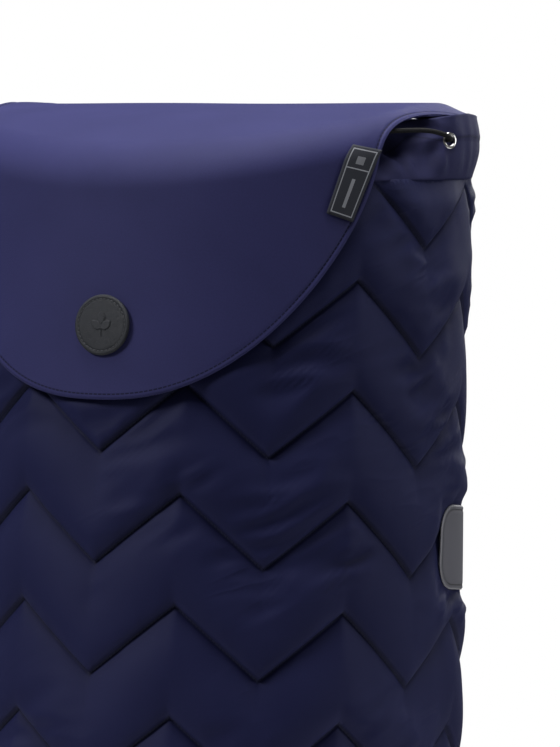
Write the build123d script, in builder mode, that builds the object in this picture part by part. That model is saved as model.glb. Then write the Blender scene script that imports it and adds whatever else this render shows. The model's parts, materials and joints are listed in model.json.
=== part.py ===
from build123d import *

import os
from math import cos, pi, radians, sin, tan

# Shopping trolley on wheels, all sizes in millimetres.
# Every piece is drawn upright, with +Z along the frame's rails, -Y to the front and the origin
# at the middle of the bag's underside. finish() then leans the piece back to where it stands.

# Stance
lean = 6.0  # degrees that the rails lean back when the trolley stands on its own
foot_height = 12.0  # from the ground to the middle of the front stand's cross tube

# Bag
bag_half_width = 190.0
bag_front = 168.0  # from the origin to the middle of the rounded front
bag_back = 112.0  # from the origin to the flat back
bag_corner = 96.0  # radius of the back corners
bag_wall = 9.0  # quilted wall, padding included
base_thickness = 6.0
board_thickness = 3.0
board_gap = 1.0
seam_height = 552.5  # of the seam between quilt and collar, beside the origin
seam_slope = 0.106  # rise of that seam per millimetre towards the back

# Collar and its drawstring
collar_inset = 1.0
collar_wall = 2.0
collar_top = seam_height + 47.5
collar_back_top = seam_height + 53.5  # where the flap is sewn on
collar_step = 3.0  # length of the slope between those two heights
collar_level = 29.0  # the rim is level from here to the back
collar_low_rise = 5.5  # of the rim over the seam at the low front
eyelet_y = -12.0
eyelet_z = seam_height + 26.5
eyelet_outer = 12.5
eyelet_hole = 7.0
eyelet_flange = 0.8
eyelet_margin = 1.5  # cloth left above the eyelet
hollow_reach = 32.5  # from the eyelet forward to where the drawn rim is lowest
hollow_drop = 11.0
cord_diameter = 3.5
cord_fold = 3.5  # bend radius where the drawstring turns out of the lock and through the eyelets
cord_inset = 6.0  # of the drawstring inside the collar's tunnel, from the bag's outline
cord_outset = 9.0  # of its bend outside the eyelet
cord_tail = 8.0  # of the drawstring below the lock
tunnel_z = seam_height + 35.5
cord_over_lock = seam_height + 0.5
# Where it lies between lock and eyelet: shares of the bag's half width and of its front, and height
cord_rise = ((0.316, 0.726, 3.5), (0.632, 0.583, 9.5), (0.868, 0.381, 17.5), (1.01, 0.262, 24.5))

# Cord lock
lock_y = 36.0 - bag_front  # the plane that the drawstring passes down in
lock_z = seam_height - 14.5
lock_width = 21.0
lock_front = 9.0  # from the cord to the front face
lock_rear = 16.0
lock_height = 22.0
lock_wall = 3.0
lock_corner = 3.0
lock_chamfer = 1.0
cord_spacing = 6.4
button_travel = 3.0
button_width = 15.0
button_height = 12.0
button_proud = 6.0
button_gap = 0.2
button_corner = 1.5
button_rounding = 1.0
button_spring_room = 8.0
button_spring_radius = 4.0
cord_gap = 0.4
cord_end_length = 14.0
cord_end_radius = 2.9
cord_end_neck = 2.03
cord_end_rounding = 1.0

# Flap
flap_gap = 5.0  # between the bag's front and the flap's inner face
flap_wall = 2.5
flap_rear_y = bag_back - 6.0
flap_rear_z = collar_back_top + 4.0  # outer face at the hinge
flap_crown_y = 10.0  # two more places that its arched top passes
flap_crown_drop = 1.5
flap_front_y = 18.0 - bag_front
flap_front_drop = 48.5
flap_roll = 22.0  # radius of the rolled upper edge
flap_half_width = 0.9 * bag_half_width
flap_rear_half_width = bag_half_width - 4.0
flap_rear_corner = bag_corner - 4.0
flap_shoulder_y = 76.0 - bag_front  # where the sides start to widen
flap_shoulder_z = seam_height + 12.5
flap_drop = 186.0  # height of the rounded end
flap_skirt = 10.0  # of the block below that end
# Its edge falls by flap_drop * (1 - share ** fullness) ** sharpness at a share of the half width
flap_fullness = 2.4
flap_sharpness = 0.62
flap_shares = (1.0, 0.995, 0.98, 0.94, 0.88, 0.8, 0.65, 0.45, 0.2)
badge_radius = 21.5
badge_height = seam_height - 121.0
badge_proud = 2.5
magnet_radius = 7.0
magnet_gap = 0.5
# Label's corners seen from the front: inwards from the flap's half width, down from its shoulder
label_corners = ((16.0, 1.0), (2.0, 2.0), (13.0, 53.0), (26.0, 49.0))
label_thickness = 0.8

# Side patches
patch_low = 257.0
patch_high = 318.0
patch_front = 0.0
patch_back = 70.0
patch_corner = 20.0
patch_thickness = 1.5

# Frame
rail_gap = 7.0  # between the bag's back and the rails
rail_wall = 1.4
handle_diameter = 16.0  # of the tube that slides in the rails
glide_wall = 1.4
glide_gap = 0.2
rail_diameter = handle_diameter + 2 * (glide_wall + glide_gap + rail_wall)
rail_x = bag_half_width / 2
rail_y = bag_back + rail_gap + rail_diameter / 2
rail_low = -18.0
rail_top = seam_height - 52.5
brace_diameter = 16.0
brace_low = 150.0
brace_high = rail_top - 40.0
toe_diameter = 16.0
toe_gap = 0.5  # under the bag
toe_front = 28.0 - bag_front
toe_corner = 36.0
stand_diameter = 14.0
stand_y = 73.0 - bag_front
stand_corner = 18.0
foot_x = rail_x - 41.0
foot_length = 40.0
foot_wall = 4.0
plug_head = 4.0
plug_length = 11.0
plug_chamfer = 1.3
strap_width = 30.0
strap_thickness = 2.0
strap_gap = 0.2
strap_reach = 30.0  # half the height of the webbing sewn to the bag
strap_x = rail_x - 50.0

# Handle
handle_wall = 1.5
handle_low = 45.0
handle_high = rail_top + 75.0  # middle of the cross tube when pushed in
handle_corner = 40.0
handle_travel = 380.0
grip_diameter = 30.0
grip_rounding = 4.9
grip_length = 106.0
glide_length = 20.0
guide_gap = 0.2

# Rail collars and their spring pins
collar_diameter = rail_diameter + 10.0
collar_rounding = 3.0
collar_seat = 20.0  # length over the rail
collar_guide = 18.0  # length above the rail
boss_radius = 9.0
boss_length = handle_diameter / 2 + 20.0  # from the rail's middle
pin_height = rail_top + collar_guide / 2
pin_radius = 3.0
pin_tip_gap = 0.3
pin_gap = 0.08
pin_flange = 5.0
pin_flange_start = handle_diameter / 2 + 6.5
pin_flange_length = 1.5
boss_bore = 5.6
boss_bore_start = handle_diameter / 2 + 6.0
boss_cap_length = 3.0
knob_radius = 9.5
knob_length = 12.0
knob_rounding = 2.0
spring_gap = 0.25
spring_wire = 0.9
spring_turns = 4

# Wheels and axle
wheel_radius = 100.0
wheel_gap = 8.0  # between the bag's side and the tyre
tyre_width = 28.0
wheel_x = bag_half_width + wheel_gap + tyre_width / 2
tyre_depth = 15.0
rim_width = 20.0
rim_depth = 8.0
rim_chamfer = 1.6
hub_radius = 20.0
hub_length = 32.0
spoke_pairs = 5
spoke_width = 6.0
spoke_spacing = 15.0
spoke_depth = 12.0
bearing_radius = 13.0
bearing_width = 8.0
bearing_recess = 1.0
bearing_gap = 0.05
bearing_shoulder = 9.0
axle_diameter = 10.0
axle_chamfer = 0.8
axle_half_length = wheel_x + hub_length / 2 + 2.5
axle_y = rail_y + 35.0
axle_z = 35.0
axle_tube_diameter = 18.0
axle_tube_wall = 2.8
bush_length = 16.0
side_play = 0.3
retainer_width = 2.0
retainer_radius = 7.5
washer_radius = 8.5
washer_length = 2.7
cap_length = 5.0
cap_wall = 1.4
cap_rounding = 2.5
bracket_thickness = 4.0
bracket_radius = 12.0
bracket_axle_radius = 14.0
bolt_radius = 3.0
bolt_gap = 0.2
bolt_heights = (0.0, 26.0)
bolt_head_radius = 5.5
bolt_head_length = 4.0
bolt_head_rounding = 1.3
bolt_end = 1.0  # of the bolt beyond its nut
nut_length = 5.0

# Where the upright drawing stands: wheels on the ground, the whole trolley centred on Y.
lean_cos = cos(radians(lean))
lean_sin = sin(radians(lean))
ground_rise = wheel_radius + axle_y * lean_sin - axle_z * lean_cos
rear_reach = axle_y * lean_cos + axle_z * lean_sin + wheel_radius
front_reach = -bag_front * lean_cos
stand_shift = -(rear_reach + front_reach) / 2
stance = Location((0, stand_shift, ground_rise), (-lean, 0, 0))

far = 400.0  # longer than any piece that is cut or kept


def finish(piece, label):
    """Lean a finished piece back to where it stands, label it and write it."""
    piece.part.move(stance)
    piece.part.label = label
    export_step(piece.part, f"parts/{label}.step")


def finish_pair(piece, label):
    """Write a right-hand piece, and its mirror image as the left-hand one."""
    with BuildPart() as left:
        mirror(piece.part, about=Plane.YZ)
    finish(left, f"{label}_left")
    finish(piece, f"{label}_right")


def across(x, y, z):
    """Plane at a point that faces +X, with its own x along +Y."""
    return Plane(origin=(x, y, z), x_dir=(0, 1, 0), z_dir=(1, 0, 0))


def rearward(x, y, z):
    """Plane at a point that faces +Y, with its own x along -X."""
    return Plane(origin=(x, y, z), x_dir=(-1, 0, 0), z_dir=(0, 1, 0))


def bag_outline(inset, back=bag_back):
    """Edges round the bag's plan, moved inwards by inset: elliptical front, straight sides, flat back."""
    half = bag_half_width - inset
    corner = bag_corner - inset
    turn_x = half - corner
    turn_y = back - inset - corner
    with BuildLine() as outline:
        EllipticalCenterArc((0, 0), half, bag_front - inset, start_angle=180, arc_size=180)
        Line((half, 0), (half, turn_y))
        CenterArc((turn_x, turn_y), corner, 0, 90)
        Line((turn_x, back - inset), (-turn_x, back - inset))
        CenterArc((-turn_x, turn_y), corner, 90, 90)
        Line((-half, turn_y), (-half, 0))
    return outline.line.edges()


def seam_at(y):
    """Height of the seam between quilt and collar."""
    return seam_height + seam_slope * y


def bend_radii(points):
    """Largest even radius at each corner of a route: 0.45 of its shorter run."""
    radii = []
    for before, corner, after in zip(points, points[1:], points[2:]):
        run_in = Vector(*corner) - Vector(*before)
        run_out = Vector(*after) - Vector(*corner)
        half_turn = radians(run_in.get_angle(run_out)) / 2
        radii.append(0.45 * min(run_in.length, run_out.length) / tan(half_turn))
    return radii


def flap_block(outset):
    """Block that the flap's sheet lies on: the bag's plan, a sloping top and a rolled upper edge."""
    sheet_depth = flap_gap + flap_wall - outset
    with BuildPart() as block:
        with BuildSketch(Plane.XY.offset(flap_shoulder_z - flap_drop - flap_skirt)):
            make_face(bag_outline(-outset, 2 * bag_back))
        extrude(amount=far)
        with BuildSketch(Plane.YZ):
            with BuildLine():
                crown = ThreePointArc(
                    (flap_rear_y, flap_rear_z),
                    (flap_crown_y, flap_rear_z - flap_crown_drop),
                    (flap_front_y, flap_rear_z - flap_front_drop),
                )
            crown_radius = crown.radius - sheet_depth
            with Locations(crown.arc_center):
                Circle(crown_radius)
        extrude(amount=far, both=True, mode=Mode.INTERSECT)
        top_face = block.faces().sort_by(Axis.Z)[-1]
        fillet(top_face.edges(), flap_roll - sheet_depth)
    return block.part


os.makedirs("parts", exist_ok=True)

# ---- Frame ----

rail_radius = rail_diameter / 2
rail_bore = rail_radius - rail_wall

with BuildPart() as rail:
    with BuildSketch(Plane.XY.offset(rail_low)):
        with Locations((rail_x, rail_y)):
            Circle(rail_radius)
            Circle(rail_bore, mode=Mode.SUBTRACT)
    extrude(amount=rail_top - rail_low)
    for bolt_height in bolt_heights:
        with BuildSketch(across(0, rail_y, bolt_height)):
            Circle(bolt_radius + bolt_gap)
        extrude(amount=far, mode=Mode.SUBTRACT)
finish_pair(rail, "rail")

with BuildPart() as rail_plug:
    with BuildSketch(Plane.XY.offset(rail_low)):
        with Locations((rail_x, rail_y)):
            Circle(rail_radius)
    extrude(amount=-plug_head)
    chamfer(rail_plug.faces().sort_by(Axis.Z)[0].edges(), plug_chamfer)
    with BuildSketch(Plane.XY.offset(rail_low)):
        with Locations((rail_x, rail_y)):
            Circle(rail_bore)
    extrude(amount=plug_length)
finish_pair(rail_plug, "rail_plug")


def rail_cutter():
    """Solid rods where both rails are, which shape the ends that meet them."""
    with BuildPart() as rods:
        with BuildSketch(Plane.XY.offset(rail_low - far)):
            with Locations((rail_x, rail_y), (-rail_x, rail_y)):
                Circle(rail_radius)
        extrude(amount=rail_top - rail_low + 2 * far)
    return rods.part


rail_rods = rail_cutter()

for brace_name, brace_z in (("brace_lower", brace_low), ("brace_upper", brace_high)):
    with BuildPart() as brace:
        with BuildSketch(across(-rail_x, rail_y, brace_z)):
            Circle(brace_diameter / 2)
            Circle(brace_diameter / 2 - rail_wall, mode=Mode.SUBTRACT)
        extrude(amount=2 * rail_x)
        add(rail_rods, mode=Mode.SUBTRACT)
    finish(brace, brace_name)

toe_radius = toe_diameter / 2
toe_z = -toe_gap - toe_radius
with BuildPart() as toe_bow:
    with BuildLine():
        FilletPolyline(
            (-rail_x, rail_y, toe_z),
            (-rail_x, toe_front, toe_z),
            (rail_x, toe_front, toe_z),
            (rail_x, rail_y, toe_z),
            radius=toe_corner,
        )
    with BuildSketch(rearward(-rail_x, rail_y, toe_z)):
        Circle(toe_radius)
        Circle(toe_radius - rail_wall, mode=Mode.SUBTRACT)
    sweep()
    add(rail_rods, mode=Mode.SUBTRACT)
finish(toe_bow, "toe_bow")

stand_radius = stand_diameter / 2
stand_z = (foot_height - ground_rise + stand_y * lean_sin) / lean_cos


def toe_cutter():
    """Solid rods where the toe bow's side tubes are."""
    with BuildPart() as rods:
        with BuildSketch(Plane.XZ.offset(far)):
            with Locations((rail_x, toe_z), (-rail_x, toe_z)):
                Circle(toe_radius)
        extrude(amount=-2 * far)
    return rods.part


toe_rods = toe_cutter()

with BuildPart() as stand_bow:
    with BuildLine():
        FilletPolyline(
            (-rail_x, stand_y, toe_z),
            (-rail_x, stand_y, stand_z),
            (rail_x, stand_y, stand_z),
            (rail_x, stand_y, toe_z),
            radius=stand_corner,
        )
    with BuildSketch(Plane.XY.offset(toe_z)):
        with Locations((-rail_x, stand_y)):
            Circle(stand_radius)
            Circle(stand_radius - rail_wall, mode=Mode.SUBTRACT)
    sweep()
    add(toe_rods, mode=Mode.SUBTRACT)
finish(stand_bow, "stand_bow")

# The feet are drawn square to the ground, so their soles lie flat on it.
foot_plane = Plane(
    origin=(foot_x - foot_length / 2, stand_y, stand_z),
    x_dir=(0, lean_cos, lean_sin),
    z_dir=(1, 0, 0),
)
foot_radius = stand_radius + foot_wall
with BuildPart() as foot:
    with BuildSketch(foot_plane):
        Circle(foot_radius)
        with Locations((0, -foot_height / 2)):
            Rectangle(2 * foot_radius, foot_height)
        Circle(stand_radius, mode=Mode.SUBTRACT)
    extrude(amount=foot_length)
    fillet(foot.edges().filter_by(Axis.X).sort_by(Axis.Z)[:2], foot_wall / 2)
finish_pair(foot, "foot")

# ---- Axle and wheels ----

bracket_start = rail_x + rail_radius
with BuildPart() as bracket:
    with BuildSketch(across(bracket_start, 0, 0)):
        with Locations((rail_y, bolt_heights[0]), (rail_y, bolt_heights[1])):
            Circle(bracket_radius)
        with Locations((axle_y, axle_z)):
            Circle(bracket_axle_radius)
        make_hull()
        with Locations((rail_y, bolt_heights[0]), (rail_y, bolt_heights[1])):
            Circle(bolt_radius + bolt_gap, mode=Mode.SUBTRACT)
        with Locations((axle_y, axle_z)):
            Circle(axle_tube_diameter / 2, mode=Mode.SUBTRACT)
    extrude(amount=bracket_thickness)
finish_pair(bracket, "axle_bracket")

bolt_start = rail_x - rail_radius
nut_end = bracket_start + bracket_thickness + nut_length
with BuildPart() as bolts:
    for bolt_height in bolt_heights:
        with BuildSketch(across(bolt_start, rail_y, bolt_height)):
            Circle(bolt_radius)
        extrude(amount=nut_end + bolt_end - bolt_start)
        with BuildSketch(across(bolt_start, rail_y, bolt_height)):
            Circle(bolt_head_radius)
        extrude(amount=-bolt_head_length)
        fillet(bolts.faces().sort_by(Axis.X)[0].edges(), bolt_head_rounding)
    mirror(about=Plane.YZ)
finish(bolts, "frame_bolts")

with BuildPart() as nuts:
    for bolt_height in bolt_heights:
        with BuildSketch(across(nut_end - nut_length, rail_y, bolt_height)):
            RegularPolygon(bolt_head_radius, 6)
            Circle(bolt_radius, mode=Mode.SUBTRACT)
        extrude(amount=nut_length)
    mirror(about=Plane.YZ)
finish(nuts, "frame_nuts")

hub_inner = wheel_x - hub_length / 2
hub_outer = wheel_x + hub_length / 2
bearing_inner = hub_inner + bearing_recess
bearing_outer = hub_outer - bearing_recess - bearing_width
bearing_face = bearing_outer + bearing_width
axle_tube_half_length = bearing_inner - side_play - washer_length
tube_bore = axle_tube_diameter / 2 - axle_tube_wall
with BuildPart() as axle_tube:
    with BuildSketch(across(-axle_tube_half_length, axle_y, axle_z)):
        Circle(axle_tube_diameter / 2)
        Circle(tube_bore, mode=Mode.SUBTRACT)
    extrude(amount=2 * axle_tube_half_length)
finish(axle_tube, "axle_tube")

with BuildPart() as axle:
    with BuildSketch(across(-axle_half_length, axle_y, axle_z)):
        Circle(axle_diameter / 2)
    extrude(amount=2 * axle_half_length)
    chamfer(axle.edges(), axle_chamfer)
finish(axle, "axle")


def axle_rings(start, length, radius):
    """A ring round the axle and its mirror image, from start outwards."""
    with BuildPart() as rings:
        with BuildSketch(across(start, axle_y, axle_z)):
            Circle(radius)
            Circle(axle_diameter / 2, mode=Mode.SUBTRACT)
        extrude(amount=length)
        mirror(about=Plane.YZ)
    return rings


axle_bushes = axle_rings(axle_tube_half_length - bush_length, bush_length, tube_bore)
finish(axle_bushes, "axle_bushes")

axle_washers = axle_rings(axle_tube_half_length, washer_length, washer_radius)
finish(axle_washers, "axle_washers")

axle_retainers = axle_rings(bearing_face + side_play, retainer_width, retainer_radius)
finish(axle_retainers, "axle_retainers")

rim_radius = wheel_radius - tyre_depth
with BuildPart() as rim:
    with BuildSketch(across(wheel_x - rim_width / 2, axle_y, axle_z)):
        Circle(rim_radius)
        Circle(rim_radius - rim_depth, mode=Mode.SUBTRACT)
    extrude(amount=rim_width)
    chamfer(rim.edges(), rim_chamfer)
    with BuildSketch(across(wheel_x - spoke_depth / 2, axle_y, axle_z)):
        with PolarLocations(0, spoke_pairs):
            with Locations((rim_radius / 2, spoke_spacing / 2), (rim_radius / 2, -spoke_spacing / 2)):
                Rectangle(rim_radius - rim_depth, spoke_width)
    extrude(amount=spoke_depth)
    with BuildSketch(across(hub_inner, axle_y, axle_z)):
        Circle(hub_radius)
    extrude(amount=hub_length)
    with BuildSketch(across(hub_inner, axle_y, axle_z)):
        Circle(bearing_shoulder)
    extrude(amount=hub_length, mode=Mode.SUBTRACT)
    with BuildSketch(across(hub_inner, axle_y, axle_z)):
        Circle(bearing_radius)
    extrude(amount=bearing_recess + bearing_width, mode=Mode.SUBTRACT)
    with BuildSketch(across(hub_outer, axle_y, axle_z)):
        Circle(bearing_radius)
    extrude(amount=-bearing_recess - bearing_width, mode=Mode.SUBTRACT)
finish_pair(rim, "wheel_rim")

with BuildPart() as tyre:
    with BuildSketch(across(wheel_x - tyre_width / 2, axle_y, axle_z)):
        Circle(wheel_radius)
        Circle(rim_radius, mode=Mode.SUBTRACT)
    extrude(amount=tyre_width)
    tread_edges = tyre.edges().filter_by(GeomType.CIRCLE).group_by(SortBy.RADIUS)[-1]
    fillet(tread_edges, tyre_depth / 2)
finish_pair(tyre, "tyre")

with BuildPart() as bearings:
    for bearing_start in (bearing_inner, bearing_outer):
        with BuildSketch(across(bearing_start, axle_y, axle_z)):
            Circle(bearing_radius)
            Circle(axle_diameter / 2 + bearing_gap, mode=Mode.SUBTRACT)
        extrude(amount=bearing_width)
finish_pair(bearings, "bearings")

with BuildPart() as hub_cap:
    with BuildSketch(across(hub_outer, axle_y, axle_z)):
        Circle(hub_radius)
    extrude(amount=cap_length)
    fillet(hub_cap.faces().sort_by(Axis.X)[-1].edges(), cap_rounding)
    with BuildSketch(across(hub_outer, axle_y, axle_z)):
        Circle(bearing_radius + cap_wall)
    extrude(amount=cap_length - cap_wall, mode=Mode.SUBTRACT)
finish_pair(hub_cap, "hub_cap")

# ---- Bag ----

with BuildPart() as bag_base:
    with BuildSketch():
        make_face(bag_outline(0))
    extrude(amount=base_thickness)
finish(bag_base, "bag_base")

with BuildPart() as base_board:
    with BuildSketch(Plane.XY.offset(base_thickness)):
        make_face(bag_outline(bag_wall + board_gap))
    extrude(amount=board_thickness)
finish(base_board, "base_board")

with BuildPart() as bag_shell:
    with BuildSketch(Plane.XY.offset(base_thickness)):
        make_face(bag_outline(0))
        make_face(bag_outline(bag_wall), mode=Mode.SUBTRACT)
    extrude(amount=collar_top)
    with BuildSketch(Plane.YZ):
        with BuildLine():
            Polyline((-far, 0), (far, 0), (far, seam_at(far)), (-far, seam_at(-far)), close=True)
        make_face()
    extrude(amount=far, both=True, mode=Mode.INTERSECT)
finish(bag_shell, "bag_shell")

collar_inner = collar_inset + collar_wall
eyelet_x = bag_half_width * (1 - (eyelet_y / bag_front) ** 2) ** 0.5 - collar_inner
with BuildPart() as bag_collar:
    with BuildSketch(Plane.XY.offset(base_thickness)):
        make_face(bag_outline(collar_inset))
        make_face(bag_outline(collar_inner), mode=Mode.SUBTRACT)
    extrude(amount=collar_back_top)
    with BuildSketch(Plane.YZ):
        with BuildLine():
            # Seen from the side: level over the eyelet, dropping to a low front, high where the flap hangs
            Polyline(
                (-far, seam_at(-far)),
                (far, seam_at(far)),
                (far, collar_back_top),
                (bag_back - collar_inner - collar_step, collar_back_top),
                (bag_back - collar_inner - 2 * collar_step, collar_top),
                (collar_level, collar_top),
                (eyelet_y - eyelet_outer + collar_wall, eyelet_z + eyelet_outer / 2 + eyelet_margin),
                (eyelet_y - hollow_reach, eyelet_z - hollow_drop),
                (-bag_front, seam_at(-bag_front) + collar_low_rise),
                (-far, seam_at(-far) + collar_low_rise),
                close=True,
            )
        make_face()
    extrude(amount=far, both=True, mode=Mode.INTERSECT)
    with BuildSketch(across(-far, eyelet_y, eyelet_z)):
        Circle(eyelet_hole / 2 + eyelet_flange)
    extrude(amount=2 * far, mode=Mode.SUBTRACT)
finish(bag_collar, "bag_collar")

with BuildPart() as eyelet:
    with BuildSketch(across(eyelet_x - eyelet_flange, eyelet_y, eyelet_z)):
        Circle(eyelet_outer / 2)
    extrude(amount=eyelet_flange)
    with BuildSketch(across(eyelet_x + collar_wall, eyelet_y, eyelet_z)):
        Circle(eyelet_outer / 2)
    extrude(amount=eyelet_flange)
    with BuildSketch(across(eyelet_x, eyelet_y, eyelet_z)):
        Circle(eyelet_hole / 2 + eyelet_flange)
    extrude(amount=collar_wall)
    with BuildSketch(across(eyelet_x - eyelet_flange, eyelet_y, eyelet_z)):
        Circle(eyelet_hole / 2)
    extrude(amount=collar_wall + 2 * eyelet_flange, mode=Mode.SUBTRACT)
finish_pair(eyelet, "eyelet")

# The drawstring's right half: up through the cord lock, under the flap and over the collar's low
# front, in through the eyelet, then round the tunnel inside the collar to the middle of the back.
tunnel_x = bag_half_width - cord_inset
tunnel_y = bag_back - cord_inset
cord_x = cord_spacing / 2
cord_low = lock_z - lock_height / 2 - cord_tail
cord_points = (
    (cord_x, lock_y, cord_low),
    (cord_x, lock_y, cord_over_lock),
    *((across_share * bag_half_width, -front_share * bag_front, seam_height + rise)
      for across_share, front_share, rise in cord_rise),
    (bag_half_width + cord_outset, eyelet_y - cord_inset, eyelet_z),
    (tunnel_x, eyelet_y + collar_wall, eyelet_z),
    (tunnel_x, tunnel_y, tunnel_z),
    (0, tunnel_y, tunnel_z),
)
cord_radii = bend_radii(cord_points)
cord_radii[0] = cord_fold
cord_radii[5:7] = (cord_fold, cord_fold)
cord_radii[-1] = bag_corner - cord_inset
print("drawstring radii", [round(radius, 1) for radius in cord_radii])

with BuildPart() as drawstring:
    with BuildLine() as cord_route:
        FilletPolyline(*cord_points, radius=cord_radii)
    with BuildSketch(Plane.XY.offset(cord_low)):
        with Locations((cord_x, lock_y)):
            Circle(cord_diameter / 2)
    sweep()
    mirror(about=Plane.YZ)
cord_length = 2 * sum(edge.length for edge in cord_route.edges())
cord_volume = cord_length * pi * cord_diameter**2 / 4
print("drawstring length", round(cord_length), "volume", round(drawstring.part.volume))
print("volume of a straight cord as long", round(cord_volume))
finish(drawstring, "drawstring")

with BuildPart() as cord_end:
    with BuildSketch(Plane.XY.offset(cord_low)):
        with Locations((cord_x, lock_y)):
            Circle(cord_end_neck)
    with BuildSketch(Plane.XY.offset(cord_low - cord_end_length)):
        with Locations((cord_x, lock_y)):
            Circle(cord_end_radius)
    loft()
    fillet(cord_end.faces().sort_by(Axis.Z)[0].edges(), cord_end_rounding)
finish_pair(cord_end, "cord_end")

# ---- Cord lock ----

channel_width = cord_spacing + cord_diameter + 2 * cord_gap
lock_bottom = lock_z - lock_height / 2
lock_depth = lock_front + lock_rear
button_bore_end = lock_y + lock_rear - lock_wall
button_back = button_bore_end - button_spring_room
with BuildPart() as cord_lock_body:
    with BuildSketch(Plane.XY.offset(lock_bottom)):
        with Locations((0, lock_y + (lock_rear - lock_front) / 2)):
            RectangleRounded(lock_width, lock_depth, lock_corner)
    extrude(amount=lock_height)
    chamfer(cord_lock_body.faces().sort_by(Axis.Z)[-1].edges(), lock_chamfer)
    with BuildSketch(rearward(0, lock_y - lock_front, lock_z)):
        Rectangle(button_width + 2 * button_gap, button_height + 2 * button_gap)
    extrude(amount=lock_depth - lock_wall, mode=Mode.SUBTRACT)
    with BuildSketch(Plane.XY.offset(lock_bottom)):
        with Locations((0, lock_y)):
            SlotOverall(channel_width, cord_diameter + 2 * cord_gap)
    extrude(amount=lock_height, mode=Mode.SUBTRACT)
finish(cord_lock_body, "cord_lock_body")

button_front = lock_y - lock_front - button_proud
with BuildPart() as cord_lock_button:
    with BuildSketch(rearward(0, button_front, lock_z)):
        RectangleRounded(button_width, button_height, button_corner)
    extrude(amount=button_back - button_front)
    fillet(cord_lock_button.faces().sort_by(Axis.Y)[0].edges(), button_rounding)
    with BuildSketch(Plane.XY.offset(lock_bottom)):
        with Locations((0, lock_y - button_travel / 2)):
            Rectangle(channel_width, cord_diameter + 2 * cord_gap + button_travel)
    extrude(amount=lock_height, mode=Mode.SUBTRACT)
finish(cord_lock_button, "cord_lock_button")

with BuildPart() as button_spring:
    spring_length = button_bore_end - button_back - 2 * spring_gap - spring_wire
    spring_start = (0, button_back + spring_gap + spring_wire / 2, lock_z)
    with BuildLine() as spring_line:
        Helix(spring_length / spring_turns, spring_length, button_spring_radius, spring_start, (0, 1, 0))
    with BuildSketch(Plane(origin=spring_line.line @ 0, z_dir=spring_line.line % 0)):
        Circle(spring_wire / 2)
    sweep(is_frenet=True)
finish(button_spring, "cord_lock_spring")

# ---- Straps, patches and closure ----


def strap_loop(x, z, brace_radius):
    """Webbing sewn to the bag's back that goes round a brace."""
    inner = brace_radius + strap_gap
    outer = inner + strap_thickness
    with BuildPart() as loop:
        with BuildSketch(across(x - strap_width / 2, 0, z)):
            with Locations((rail_y, 0)):
                Circle(outer)
            with Locations(((bag_back + rail_y) / 2, 0)):
                Rectangle(rail_y - bag_back, 2 * outer)
            with Locations((bag_back + strap_thickness / 2, 0)):
                Rectangle(strap_thickness, 2 * strap_reach)
            with Locations((rail_y, 0)):
                Circle(inner, mode=Mode.SUBTRACT)
            with Locations(((bag_back + strap_thickness + rail_y) / 2, 0)):
                Rectangle(rail_y - bag_back - strap_thickness, 2 * inner, mode=Mode.SUBTRACT)
        extrude(amount=strap_width)
    return loop


finish_pair(strap_loop(strap_x, brace_high, brace_diameter / 2), "hanger_strap")
finish(strap_loop(0, brace_low, brace_diameter / 2), "lower_strap")

with BuildPart() as side_patch:
    with BuildSketch(Plane.XY.offset(patch_low)):
        make_face(bag_outline(-patch_thickness))
        make_face(bag_outline(0), mode=Mode.SUBTRACT)
    extrude(amount=patch_high - patch_low)
    with BuildSketch(across(0, (patch_front + patch_back) / 2, (patch_low + patch_high) / 2)):
        RectangleRounded(patch_back - patch_front, patch_high - patch_low, patch_corner)
    extrude(amount=far, mode=Mode.INTERSECT)
finish_pair(side_patch, "side_patch")

flap_inner = flap_block(flap_gap)
flap_outer = flap_block(flap_gap + flap_wall)
label_outer = flap_block(flap_gap + flap_wall + label_thickness)

flap_edge_half = [
    (flap_half_width * share, flap_shoulder_z - flap_drop * (1 - share**flap_fullness) ** flap_sharpness)
    for share in flap_shares
]
flap_edge_points = [
    *((-x, z) for x, z in flap_edge_half),
    (0, flap_shoulder_z - flap_drop),
    *reversed(flap_edge_half),
]

with BuildPart() as flap:
    add(flap_outer)
    add(flap_inner, mode=Mode.SUBTRACT)
    with BuildSketch(Plane.XZ):
        with BuildLine():
            flap_edge = Spline(*flap_edge_points)
            Polyline(
                flap_edge @ 1,
                (far, flap_shoulder_z),
                (far, 2 * far),
                (-far, 2 * far),
                (-far, flap_shoulder_z),
                flap_edge @ 0,
            )
        make_face()
    extrude(amount=far, both=True, mode=Mode.INTERSECT)
    with BuildSketch(Plane.XY) as flap_plan:
        with BuildLine():
            Polyline(
                (-flap_half_width, -far),
                (flap_half_width, -far),
                (flap_half_width, flap_shoulder_y),
                (flap_rear_half_width, flap_rear_y),
                (-flap_rear_half_width, flap_rear_y),
                (-flap_half_width, flap_shoulder_y),
                close=True,
            )
        make_face()
        fillet(flap_plan.vertices().group_by(Axis.Y)[-1], flap_rear_corner)
    extrude(amount=2 * far, mode=Mode.INTERSECT)
finish(flap, "flap")

flap_face = bag_front + flap_gap + flap_wall
with BuildPart() as badge:
    with BuildSketch(Plane.XZ.offset(flap_face + badge_proud)):
        with Locations((0, badge_height)):
            Circle(badge_radius)
    extrude(amount=-3 * badge_proud)
    add(flap_outer, mode=Mode.SUBTRACT)
    fillet(badge.faces().sort_by(Axis.Y)[0].edges(), badge_proud / 3)
finish(badge, "badge")

with BuildPart() as label:
    add(label_outer)
    add(flap_outer, mode=Mode.SUBTRACT)
    with BuildSketch(Plane.XZ):
        with BuildLine():
            Polyline(
                *((flap_half_width - inward, flap_shoulder_z - down) for inward, down in label_corners),
                close=True,
            )
        make_face()
    extrude(amount=far, mode=Mode.INTERSECT)
finish(label, "label")

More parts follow.
